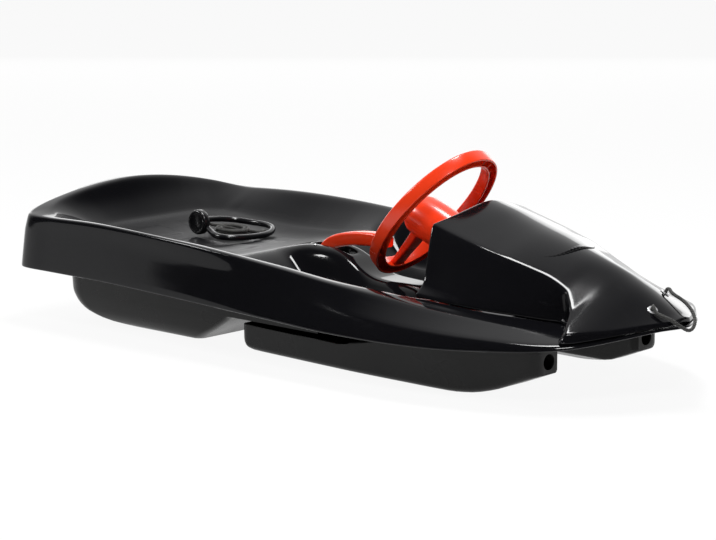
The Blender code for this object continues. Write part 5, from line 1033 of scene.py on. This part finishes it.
def ring_point(angle, out, along):
    """A point on the wheel's ring, out from the middle of its section."""
    high, wide = RING_HIGH - RING_RADIAL / 2, RING_WIDE - RING_RADIAL / 2
    slope = Vector((math.cos(angle) / high, math.sin(angle) / wide)).normalized()
    return wheel_point(high * math.cos(angle) + slope.x * out,
                       wide * math.sin(angle) + slope.y * out, along)


def ring_section():
    """The rim's channel as (out, along), with its corners rounded."""
    half, out, wall = RING_DEPTH / 2, RING_RADIAL / 2, RING_WALL
    corners = [(out, -half), (out, half), (out - wall, half), (out - wall, -half + wall),
               (wall - out, -half + wall), (wall - out, half), (-out, half), (-out, -half)]
    points = []
    for k, corner in enumerate(corners):
        before, here, after = Vector(corners[k - 1]), Vector(corner), Vector(corners[(k + 1) % 8])
        a = here + (before - here).normalized() * RING_CORNERS[k]
        c = here + (after - here).normalized() * RING_CORNERS[k]
        for u in (0.0, 0.3, 0.7, 1.0):
            points.append(a * (1 - u) ** 2 + here * 2 * u * (1 - u) + c * u * u)
    return points


def bends(line):
    """Each (x, z, size) of a line in the middle plane as its point, direction, normal and size."""
    made = []
    for k, (x, z, size) in enumerate(line):
        before, after = line[max(0, k - 1)], line[min(len(line) - 1, k + 1)]
        way = Vector((after[0] - before[0], 0, after[1] - before[1])).normalized()
        made.append((Vector((x, 0, z)), way, Vector((-way.z, 0, way.x)), size))
    return made


def hub_body(shrink):
    """The hub's round body along its middle line. Shrunk, it is the hollow inside it."""
    rings = []
    for k, (point, way, normal, radius) in enumerate(bends(HUB_LINE)):
        move = way * shrink if k < len(HUB_LINE) - 1 else way * (2 * shrink)
        rings.append(circle(point + move, normal, SIDE, max(0.002, radius - shrink), 48))
    return lofted(rings)


def rib_mesh(sizes):
    """Thin ribs across the rim's channel, as one mesh."""
    bm = bmesh.new()
    inner = RING_RADIAL / 2 - RING_WALL + RIB_SUNK
    for k in range(sizes.wheel_ribs):
        angle = 2 * math.pi * (k + 0.5) / sizes.wheel_ribs
        made = bmesh.ops.create_cube(bm, size=1.0)["verts"]
        for v in made:
            turn = angle + v.co.y * sizes.rib_thickness / RIB_REACH
            along = (v.co.z + 0.5) * RIB_DEPTH - RING_DEPTH / 2 + RING_WALL - RIB_SUNK
            v.co = ring_point(turn, v.co.x * 2 * inner, along)
    bmesh.ops.recalc_face_normals(bm, faces=bm.faces)
    return to_mesh(bm)


def make_steering():
    sizes = bpy.context.scene.snow_bob_sizes
    section = ring_section()
    rings = [[ring_point(2 * math.pi * k / RING_STEPS, p.x, p.y) for p in section]
             for k in range(RING_STEPS)]
    spoke = [[wheel_point(up, across, along + deep) for across, deep in
              rounded_rectangle(wide, thick / 2, SPOKE_CORNER)] for up, along, thick, wide in SPOKE_LINE]
    steps = [(lofted(spoke), True), (hub_body(0.0), True), (hub_body(RING_WALL), False),
             (rod(on_column(SLEEVE_START), COLUMN_DIR, SLEEVE_LENGTH,
                  COLUMN_R + SLEEVE_WALL), True),
             (rod(on_column(COLUMN_HOLE_START), COLUMN_DIR, COLUMN_HOLE_LENGTH,
                  COLUMN_R + COLUMN_GAP), False)]
    for side in (SIDE, -SIDE):
        steps.append((rod(on_column(HUB_BOLT_AT) + side * (HUB_R - BOSS_SUNK), -side,
                          HUB_R - COLUMN_R - BOSS_SHORT, BOLT_BOSS_R, 24), True))
    steps.append((rod(on_column(HUB_BOLT_AT) - SIDE * BOLT_HOLE_HALF, SIDE, 2 * BOLT_HOLE_HALF,
                      HUB_BOLT_R, 20), False))
    piece("wheel", worked(lofted(rings, closed=True), *steps), "red", "steering",
          ("steering_wheel",), sharp=50)
    piece("wheel_ribs", rib_mesh(sizes), "red", "steering", bevel=0.0003)
    from_frame("steel", "steering", 0.0005, "steering_column")
    from_frame("steel", "steering", 0.0003, "wheel_bolt", "wheel_nut")
    from_frame("fitting", "steering", 0.0005, "column_collar")
    from_frame("fitting", "sled", 0.0015, "column_bearing_block")
    from_frame("fitting", "sled", 0.0006, "turntable_disc")
    from_frame("steel", "sled", 0.0003, "kingpin_bolt", "kingpin_lower_washer",
               "kingpin_upper_washer", "kingpin_nut")


def rounded_rectangle(half_wide, half_high, cut, turns=3):
    """Points of a rectangle with round corners, round its middle."""
    points = []
    cut = min(cut, half_high * 0.9, half_wide * 0.9)
    for x, y, start in ((1, -1, -90), (1, 1, 0), (-1, 1, 90), (-1, -1, 180)):
        for k in range(turns + 1):
            angle = math.radians(start + 90 * k / turns)
            points.append((x * (half_wide - cut) + cut * math.cos(angle),
                           y * (half_high - cut) + cut * math.sin(angle)))
    return points


# Brake

PIVOT = Vector((-0.110, 0.0, 0.125))
CLAW_WAY = Vector((-0.844, 0.0, -0.536)).normalized()
CLAW_DOWN = Vector((-CLAW_WAY.z, 0.0, CLAW_WAY.x))
LEVER_LINE = (
    (-0.110, 0.119, 0.019), (-0.109, 0.135, 0.019), (-0.103, 0.150, 0.020), (-0.089, 0.1605, 0.021),
    (-0.066, 0.168, 0.022), (-0.034, 0.1735, 0.022), (-0.004, 0.1755, 0.022), (0.018, 0.1745, 0.021),
    (0.029, 0.1735, 0.016))
LEVER_HALF_Y = 0.011
CLAW_RIVETS = (0.022, 0.035)
LEVER_CORNER, PIVOT_BOSS_R, PIVOT_HOLE_R, PIVOT_HOLE_HALF = 0.004, 0.0115, 0.0045, 0.03
TONGUE_LENGTH, TONGUE_HALF, TONGUE_CORNER = 0.042, (0.009, 0.006), 0.001
RIVET_HOLE_R, RIVET_HOLE_HALF, SPRING_STEPS = 0.0019, 0.02, 32
SPRING_R, SPRING_WIRE_R, SPRING_PITCH, SPRING_TURNS = 0.0058, 0.0006, 0.0019, 3
SPRING_START = 0.0181


def smooth_line(points, per_span):
    """Points along a smooth curve through route points, the same number in each span."""
    points = [Vector(p) for p in points]
    made = [points[0]]
    for k in range(len(points) - 1):
        p1, p2 = points[k], points[k + 1]
        p0 = points[k - 1] if k else p1 * 2 - p2
        p3 = points[k + 2] if k + 2 < len(points) else p2 * 2 - p1
        for j in range(1, per_span + 1):
            u = j / per_span
            made.append(0.5 * (2 * p1 + (p2 - p0) * u + (2 * p0 - 5 * p1 + 4 * p2 - p3) * u * u
                               + (3 * p1 - p0 - 3 * p2 + p3) * u ** 3))
    return made


def make_brake():
    rings = [[point + SIDE * y + normal * n for y, n in
              rounded_rectangle(LEVER_HALF_Y, thick / 2, LEVER_CORNER)]
             for point, _, normal, thick in bends(smooth_line(LEVER_LINE, 4))]
    tongue = [[PIVOT + CLAW_WAY * distance + SIDE * y + CLAW_DOWN * n for y, n in
               rounded_rectangle(*TONGUE_HALF, TONGUE_CORNER)] for distance in (0.0, TONGUE_LENGTH)]
    steps = [(rod(PIVOT - SIDE * LEVER_HALF_Y, SIDE, 2 * LEVER_HALF_Y, PIVOT_BOSS_R, 40), True),
             (lofted(tongue), True),
             (rod(PIVOT - SIDE * PIVOT_HOLE_HALF, SIDE, 2 * PIVOT_HOLE_HALF, PIVOT_HOLE_R), False)]
    for distance in CLAW_RIVETS:
        steps.append((rod(PIVOT + CLAW_WAY * distance - CLAW_DOWN * RIVET_HOLE_HALF, CLAW_DOWN,
                          2 * RIVET_HOLE_HALF, RIVET_HOLE_R, 16), False))
    piece("lever", worked(lofted(rings), *steps), "red", "brake", ("brake_lever",), sharp=45)
    from_frame("steel", "brake", 0.0003, "brake_claw", "claw_rivet_1", "claw_rivet_2")
    from_frame("fitting", "sled", 0.0006, "brake_bracket_right", "brake_bracket_left")
    from_frame("steel", "sled", 0.0003, "bracket_rivet_right", "bracket_rivet_left",
               "brake_pivot_pin")
    points = []
    for k in range(SPRING_TURNS * SPRING_STEPS + 1):
        angle = 2 * math.pi * k / SPRING_STEPS
        points.append(Vector((PIVOT.x + SPRING_R * math.cos(angle),
                              SPRING_START + SPRING_PITCH * k / SPRING_STEPS,
                              PIVOT.z + SPRING_R * math.sin(angle))))
    piece("return_spring", tube(points, SPRING_WIRE_R, 10), "steel", "sled",
          ("brake_return_spring",), sharp=60)


# Tubes and cords

def frames_along(points):
    """A normal pair for each point of a line, turned as little as can be from one to the next."""
    made = []
    normal = None
    for k, point in enumerate(points):
        way = (points[min(k + 1, len(points) - 1)] - points[max(k - 1, 0)]).normalized()
        normal = way.orthogonal() if normal is None else normal - way * normal.dot(way)
        normal.normalize()
        made.append((point, way, normal.copy(), way.cross(normal)))
    return made


def tube(points, radius, sides, taper=0.0):
    """A closed tube along a line. Its first and last points can be thinner by a share."""
    rings = []
    for k, (point, _, a, b) in enumerate(frames_along(points)):
        ends = min(k, len(points) - 1 - k) / 4
        thin = 1.0 - taper * max(0.0, 1.0 - ends)
        rings.append(circle(point, a, b, radius * thin, sides))
    return lofted(rings)


def even_line(points, step):
    """The same line with its points evenly spaced."""
    far = [0.0]
    for a, b in zip(points, points[1:]):
        far.append(far[-1] + (b - a).length)
    count = max(2, round(far[-1] / step))
    made, j = [], 0
    for k in range(count + 1):
        want = far[-1] * k / count
        while j < len(far) - 2 and far[j + 1] < want:
            j += 1
        u = (want - far[j]) / max(1e-9, far[j + 1] - far[j])
        made.append(points[j].lerp(points[j + 1], u))
    return made


BRAID_TURN = 0.017      # length in which a strand goes once round the cord
STRAND_R, CORE_R, BRAID_R, BRAID_WAVE, BRAID_STEP = 0.00092, 0.0017, 0.00172, 0.00032, 0.0013


def braided(points, strands=8, sides=6):
    """A braided cord: strands that wind both ways round a core, over and under each other."""
    line = even_line(smooth_line(points, 6), BRAID_STEP)
    guides = frames_along(line)
    bm = bmesh.new()
    step = (line[1] - line[0]).length
    paths = [(line, CORE_R, 8)]
    turn = 2 * math.pi / BRAID_TURN
    for k in range(strands):
        way = 1 if k % 2 == 0 else -1
        start = 2 * math.pi * (k // 2) / (strands // 2)
        path = []
        for j, (point, _, a, b) in enumerate(guides):
            far = j * step
            angle = start + way * turn * far
            radius = BRAID_R + way * BRAID_WAVE * math.cos(strands / 2 * turn * far)
            path.append(point + (a * math.cos(angle) + b * math.sin(angle)) * radius)
        paths.append((path, STRAND_R, sides))
    for path, radius, count in paths:
        part = tube(path, radius, count)
        bm.from_mesh(part)
        bpy.data.meshes.remove(part)
    return to_mesh(bm), line


ROPE_R, ROPE_STEP, LEAD_RADII = 0.003, 0.0078, 2.4
EYELETS = {-1: (COWL_TIP - 0.036, 0.027), 1: (COWL_TIP - 0.070, 0.050)}
KNOT_REACH, ROPE_START = 0.0065 * 0.9 + 0.0003, 0.009
KNOT_STEPS, KNOT_TURNS, KNOT_LENGTH, KNOT_WIND_R, KNOT_BELLY, KNOT_CORD_R = (
    72, 3, 0.0072, 0.0033, 0.0003, 0.0028)
NOSE_ROUTE = [
    (0.5750, -0.0335, 0.1385), (0.5990, -0.0295, 0.1300), (0.6130, -0.0200, 0.1190),
    (0.6175, -0.0070, 0.1145), (0.6143, 0.0080, 0.1238), (0.5988, 0.0220, 0.1359),
    (0.5758, 0.0340, 0.1455), (0.5480, 0.0440, 0.1525)]
COIL_X, COIL_Y, COIL_Z, COIL_SLOPE = -0.363, 0.038, 0.1386, -0.057
COIL_R, COIL_PITCH, COIL_LAYER, COIL_TURNS, COIL_EXTRA = 0.031, 0.0068, 0.0066, 2, 0.25
COIL_STEPS = 24
TAIL_KNOT = Vector((-0.3175, 0.069, 0.1419))
HUB_X, HUB_Y, HUB_Z, HUB_THICK, HUB_DISC_R = -0.3895, -0.013, 0.1622, 0.014, 0.021
GRIP_R, GRIP_TAPER = 0.005, 0.12
GRIP_ROUTE = [
    (-0.3680, -0.0135, 0.1539), (-0.3560, -0.0180, 0.1501), (-0.3360, -0.0260, 0.1468),
    (-0.3160, -0.0230, 0.1453), (-0.3020, -0.0020, 0.1440), (-0.2970, 0.0320, 0.1430),
    (-0.3010, 0.0650, 0.1436), (-0.3170, 0.0900, 0.1468), (-0.3430, 0.1010, 0.1490),
    (-0.3760, 0.1010, 0.1494), (-0.4030, 0.0900, 0.1518), (-0.4170, 0.0650, 0.1553),
    (-0.4180, 0.0320, 0.1583), (-0.4130, 0.0060, 0.1605), (-0.4070, -0.0053, 0.1612)]


def eyelet_place(side):
    x, y = EYELETS[side]
    return Vector((x, side * y, cowl_top(x, y)))


def eyelet_axis(side):
    """The cowl's own normal at the eyelet."""
    x, y = EYELETS[side]
    step = 0.002
    dx = (cowl_top(x + step, y) - cowl_top(x - step, y)) / (2 * step)
    dy = (cowl_top(x, y + step) - cowl_top(x, y - step)) / (2 * step)
    return Vector((-dx, -dy * side, 1.0)).normalized()


def coil_points():
    """The tow rope's coil: in and out again in two layers, then up to the handle's hub."""
    points = []
    for k in range(COIL_STEPS * COIL_TURNS * 2 + round(COIL_EXTRA * COIL_STEPS) + 1):
        turn = k / COIL_STEPS
        inward = min(turn, 2 * COIL_TURNS + COIL_EXTRA - turn)
        radius = COIL_R - COIL_PITCH * inward
        layer = smooth(COIL_TURNS - 0.125, COIL_TURNS + 0.375, turn)
        angle = math.pi - 2 * math.pi * (2 * COIL_TURNS + COIL_EXTRA - turn)
        x = COIL_X + radius * math.cos(angle)
        y = COIL_Y + radius * math.sin(angle)
        z = COIL_Z + COIL_SLOPE * (x - COIL_X) + ROPE_R + layer * COIL_LAYER
        points.append(Vector((x, y, z)))
    return points


def route(points, step):
    return even_line(smooth_line(points, 16), step)


def knot(centre, way):
    """A stopper knot: a cord wound tightly round itself."""
    axis = Vector(way).normalized()
    first = axis.orthogonal().normalized()
    second = axis.cross(first)
    points = []
    for k in range(KNOT_STEPS + 1):
        share = k / KNOT_STEPS
        angle = 2 * math.pi * KNOT_TURNS * share
        radius = KNOT_WIND_R + KNOT_BELLY * math.sin(math.pi * share)
        points.append(Vector(centre) + axis * (share - 0.5) * KNOT_LENGTH
                      + (first * math.cos(angle) + second * math.sin(angle)) * radius)
    return tube(points, KNOT_CORD_R, 12)


def make_ropes():
    (near, out_near), (far, out_far) = eyes = [(eyelet_place(side), eyelet_axis(side))
                                               for side in (-1, 1)]
    stops = ([near - out_near * ROPE_START, near, near + out_near * ROPE_START]
             + [Vector(p) for p in NOSE_ROUTE]
             + [far + out_far * ROPE_START, far, far - out_far * ROPE_START])
    mesh, line = braided(route(stops, ROPE_STEP))
    nose = piece("nose_loop", mesh, "cord", "sled", ("nose_rope",))
    knots = [piece("nose_stop_" + side, knot(eye - way * (ROPE_START + KNOT_REACH), way), "cord",
                   "sled", ("nose_knot_" + side,)) for side, (eye, way) in zip(("right", "left"), eyes)]

    points = coil_points()
    start = TAIL_KNOT - Vector((KNOT_REACH, 0.0, 0.0))
    lead = route([start, start - Vector((ROPE_R * LEAD_RADII, 0.0, 0.0)),
                  (start + points[0]) / 2 - Vector((0.002, 0.0, 0.0006)), points[0],
                  points[1]], ROPE_STEP)
    end = Vector((HUB_X, HUB_Y + HUB_THICK / 2 + 0.0003, HUB_Z))
    last = route([points[-2], points[-1], points[-1] + Vector((0.0004, -0.018, 0.0035)),
                  end + SIDE * (ROPE_R * LEAD_RADII), end], ROPE_STEP)
    mesh, line = braided((lead + points[2:-1] + last[1:])[::-1])
    tow = piece("tow_cord", mesh, "cord", "sled", ("tow_rope_coil",))
    stop = piece("tow_stop", knot(TAIL_KNOT, (1.0, 0.0, 0.0)), "cord", "sled", ("tow_rope_knot",))
    from_frame("steel", "sled", 0.0003, "eyelet_right", "eyelet_left")


def make_handle():
    """The D handle: a round hub with dished faces, and a bent grip that runs into it."""
    half, radius = HUB_THICK / 2, HUB_DISC_R
    side = ((-half + 0.0012, 0), (-half + 0.0012, radius - 0.0085), (-half, radius - 0.0065),
            (-half, radius - 0.0035), (-half + 0.0008, radius - 0.0012),
            (-half + 0.003, radius), (0, radius))
    profile = list(side) + [(-along, out) for along, out in reversed(side[:-1])]
    hub = turned((HUB_X, HUB_Y, HUB_Z), SIDE, profile, 64)
    piece("handle_hub", hub, "handle", "sled", ("tow_handle_hub",), sharp=50)
    grip = tube(even_line(smooth_line(GRIP_ROUTE, 10), 0.004), GRIP_R, 20, GRIP_TAPER)
    piece("handle_grip", grip, "handle", "sled", ("tow_handle_grip",), sharp=60)


def make_screws():
    from_frame("steel", "sled", 0.0002, *[f"cowl_screw_{k}" for k in range(1, 7)],
               *[f"box_screw_{k}" for k in range(1, 5)], "block_screw_1", "block_screw_2")


# Stage

CAMERA_PLACE = (2.739, -3.030, 0.868)
CAMERA_AZIMUTH, CAMERA_PITCH = math.radians(42.5), math.radians(10.3)
SENSOR, FOCAL_PIXELS, IMAGE_WIDTH = 36.0, 2600.0, 716.0
BACKDROP_WAY = (-0.62, 0.70, 0.35)
ROOM_LEVEL, BACKDROP_LEVEL, BACKDROP_FADE = 0.05, 1.0, (0.30, 0.85)
FLOOR_COLOUR, PAPER_SHARE = (0.90, 0.90, 0.90, 1.0), 0.92
# Name, place, aim, size and power
LAMPS = (("Overhead", (0.1, 0.2, 2.6), (0, 0, 0), (0.9, 0.5), 55),
         ("Backdrop", (-3.1, 3.4, 0.95), (0, 0, 0.2), (4.5, 1.5), 30),
         ("Left", (-2.6, -2.2, 2.4), (0, 0, 0.1), (0.6, 0.6), 45),
         ("Front", (2.2, -1.8, 2.6), (0, 0, 0.1), (0.6, 0.6), 45))


def aimed(name, data, place, way):
    """A lamp or camera at a place, looking along a direction."""
    obj = add_object(name, data)
    obj.location = place
    obj.rotation_euler = Vector(way).to_track_quat("-Z", "Y").to_euler()
    return obj


def make_world():
    """A studio room: a pale backdrop behind the sled and dim walls elsewhere."""
    world = bpy.data.worlds.new("Studio")
    bpy.context.scene.world = world
    world.use_nodes = True
    tree = world.node_tree
    place = tree.nodes.new("ShaderNodeTexCoord")
    facing = add_node(tree, "VectorMath", {0: place.outputs["Generated"], 1: BACKDROP_WAY},
                      operation="DOT_PRODUCT")
    low, high = BACKDROP_FADE
    level = add_node(tree, "MapRange", {"Value": facing.outputs["Value"], "From Min": low,
                                        "From Max": high, "To Min": ROOM_LEVEL,
                                        "To Max": BACKDROP_LEVEL}, interpolation_type="SMOOTHSTEP")
    set_inputs(tree, tree.nodes["Background"], {"Color": (1.0, 1.0, 1.0, 1.0),
                                                "Strength": level.outputs["Result"]})


def floor_material():
    """Matt floor that shows white to the camera and keeps a faint shadow."""
    mat, tree, shader = new_material("White floor")
    set_inputs(tree, shader, {"Base Color": FLOOR_COLOUR, "Roughness": 0.9,
                              "Specular IOR Level": 0.0})
    paper = tree.nodes.new("ShaderNodeEmission")
    path = tree.nodes.new("ShaderNodeLightPath")
    seen = add_node(tree, "Math", {0: path.outputs["Is Camera Ray"],
                                   1: path.outputs["Is Glossy Ray"]}, operation="MAXIMUM")
    through = add_node(tree, "Math", {0: seen.outputs["Value"],
                                      1: path.outputs["Is Transmission Ray"]}, operation="MAXIMUM")
    share = add_node(tree, "Math", {0: through.outputs["Value"], 1: PAPER_SHARE},
                     operation="MULTIPLY")
    mix = add_node(tree, "MixShader", {0: share.outputs["Value"], 1: shader.outputs["BSDF"],
                                       2: paper.outputs["Emission"]})
    set_inputs(tree, tree.nodes["Material Output"], {"Surface": mix.outputs["Shader"]})
    return mat


def make_stage():
    scene = bpy.context.scene
    bm = bmesh.new()
    bmesh.ops.create_grid(bm, x_segments=1, y_segments=1, size=30.0)
    floor = add_object("floor", to_mesh(bm))
    floor.data.materials.append(floor_material())
    make_world()
    for name, place, aim, (long, wide), power in LAMPS:
        data = bpy.data.lights.new(name, "AREA")
        data.shape = "RECTANGLE"
        data.size, data.size_y = long, wide
        data.energy = power
        aimed(name, data, place, Vector(aim) - Vector(place))
    data = bpy.data.cameras.new("Camera")
    data.sensor_width = SENSOR
    data.lens = SENSOR * FOCAL_PIXELS / IMAGE_WIDTH
    data.clip_end = 100.0
    scene.camera = aimed("Camera", data, CAMERA_PLACE,
                         (-math.sin(CAMERA_AZIMUTH) * math.cos(CAMERA_PITCH),
                          math.cos(CAMERA_AZIMUTH) * math.cos(CAMERA_PITCH), -math.sin(CAMERA_PITCH)))
    scene.view_settings.view_transform = "Standard"


# Add-on

def length(name, description, default):
    return bpy.props.FloatProperty(name=name, description=description, default=default,
                                   min=0.0, unit="LENGTH", precision=4)


def colour(name, description, default):
    return bpy.props.FloatVectorProperty(name=name, description=description, default=default,
                                         size=3, min=0.0, max=1.0, subtype="COLOR")


class SnowBobSizes(bpy.types.PropertyGroup):
    shell_wall: length("Shell wall", "Thickness of the shell and the cowl", 0.003)
    pad_rise: length("Pad rise", "Height of the raised pads on the seat", 0.0015)
    rib_thickness: length("Rib thickness", "Thickness of the ribs in the wheel's rim", 0.0016)
    wheel_ribs: bpy.props.IntProperty(name="Wheel ribs", description="Ribs in the wheel's rim",
                                      default=28, min=0, max=60)


class SnowBobColours(bpy.types.PropertyGroup):
    shell: colour("Shell", "Colour of the shell and the cowl", (0.004, 0.004, 0.005))
    runner: colour("Runners", "Colour of the runner box and the ski", (0.010, 0.010, 0.010))
    wheel: colour("Wheel", "Colour of the wheel and the brake lever", (0.85, 0.045, 0.008))
    cord: colour("Cord", "Colour of the ropes", (0.018, 0.018, 0.016))
    steel: colour("Steel", "Colour of the plated steel", (0.55, 0.55, 0.56))


class SNOWBOB_OT_stage(bpy.types.Operator):
    """Add the floor, the lights and the camera"""
    bl_idname = "snowbob.stage"
    bl_label = "Stage"

    def execute(self, context):
        make_stage()
        return {"FINISHED"}


class SNOWBOB_OT_shell(bpy.types.Operator):
    """Build the shell with its seat, footwells, rim and skirt"""
    bl_idname = "snowbob.shell"
    bl_label = "Shell"

    def execute(self, context):
        make_shell()
        return {"FINISHED"}


class SNOWBOB_OT_cowl(bpy.types.Operator):
    """Build the cowl over the steering and its bare oval badge"""
    bl_idname = "snowbob.cowl"
    bl_label = "Cowl"

    def execute(self, context):
        make_cowl()
        return {"FINISHED"}


class SNOWBOB_OT_runner_box(bpy.types.Operator):
    """Build the hollow runner box under the seat"""
    bl_idname = "snowbob.runner_box"
    bl_label = "Runner box"

    def execute(self, context):
        make_runner_box()
        return {"FINISHED"}


class SNOWBOB_OT_front_ski(bpy.types.Operator):
    """Build the steered twin runner ski"""
    bl_idname = "snowbob.front_ski"
    bl_label = "Front ski"

    def execute(self, context):
        make_front_ski()
        return {"FINISHED"}


class SNOWBOB_OT_steering(bpy.types.Operator):
    """Build the wheel, its column, the bearing block and the kingpin"""
    bl_idname = "snowbob.steering"
    bl_label = "Steering"

    def execute(self, context):
        make_steering()
        return {"FINISHED"}


class SNOWBOB_OT_brake(bpy.types.Operator):
    """Build the brake lever, its claw, brackets, pin and spring"""
    bl_idname = "snowbob.brake"
    bl_label = "Brake"

    def execute(self, context):
        make_brake()
        return {"FINISHED"}


class SNOWBOB_OT_ropes(bpy.types.Operator):
    """Build the braided nose loop and the coiled tow rope"""
    bl_idname = "snowbob.ropes"
    bl_label = "Ropes"

    def execute(self, context):
        make_ropes()
        return {"FINISHED"}


class SNOWBOB_OT_handle(bpy.types.Operator):
    """Build the tow rope's D handle"""
    bl_idname = "snowbob.handle"
    bl_label = "Tow handle"

    def execute(self, context):
        make_handle()
        return {"FINISHED"}


class SNOWBOB_OT_screws(bpy.types.Operator):
    """Finish the screws that hold the cowl, the box and the bearing block"""
    bl_idname = "snowbob.screws"
    bl_label = "Screws"

    def execute(self, context):
        make_screws()
        return {"FINISHED"}


STEPS = (
    SNOWBOB_OT_stage, SNOWBOB_OT_ropes, SNOWBOB_OT_shell, SNOWBOB_OT_cowl, SNOWBOB_OT_runner_box,
    SNOWBOB_OT_front_ski, SNOWBOB_OT_steering, SNOWBOB_OT_brake, SNOWBOB_OT_handle, SNOWBOB_OT_screws)


class SNOWBOB_PT_panel(bpy.types.Panel):
    bl_idname = "SNOWBOB_PT_panel"
    bl_label = "Snow bob"
    bl_space_type = "VIEW_3D"
    bl_region_type = "UI"
    bl_category = "Snow bob"

    def draw(self, context):
        column = self.layout.column()
        for group in (context.scene.snow_bob_sizes, context.scene.snow_bob_colours):
            for key in group.__annotations__:
                column.prop(group, key)
        for step in STEPS:
            column.operator(step.bl_idname)


CLASSES = (SnowBobSizes, SnowBobColours, *STEPS, SNOWBOB_PT_panel)


def register():
    for item in CLASSES:
        bpy.utils.register_class(item)
    bpy.types.Scene.snow_bob_sizes = bpy.props.PointerProperty(type=SnowBobSizes)
    bpy.types.Scene.snow_bob_colours = bpy.props.PointerProperty(type=SnowBobColours)


def unregister():
    del bpy.types.Scene.snow_bob_colours
    del bpy.types.Scene.snow_bob_sizes
    for item in reversed(CLASSES):
        bpy.utils.unregister_class(item)


def main():
    register()
    bpy.ops.snowbob.stage()
    bpy.ops.snowbob.ropes()
    bpy.ops.snowbob.shell()
    bpy.ops.snowbob.cowl()
    bpy.ops.snowbob.runner_box()
    bpy.ops.snowbob.front_ski()
    bpy.ops.snowbob.steering()
    bpy.ops.snowbob.brake()
    bpy.ops.snowbob.handle()
    bpy.ops.snowbob.screws()


if __name__ == "__main__":
    main()
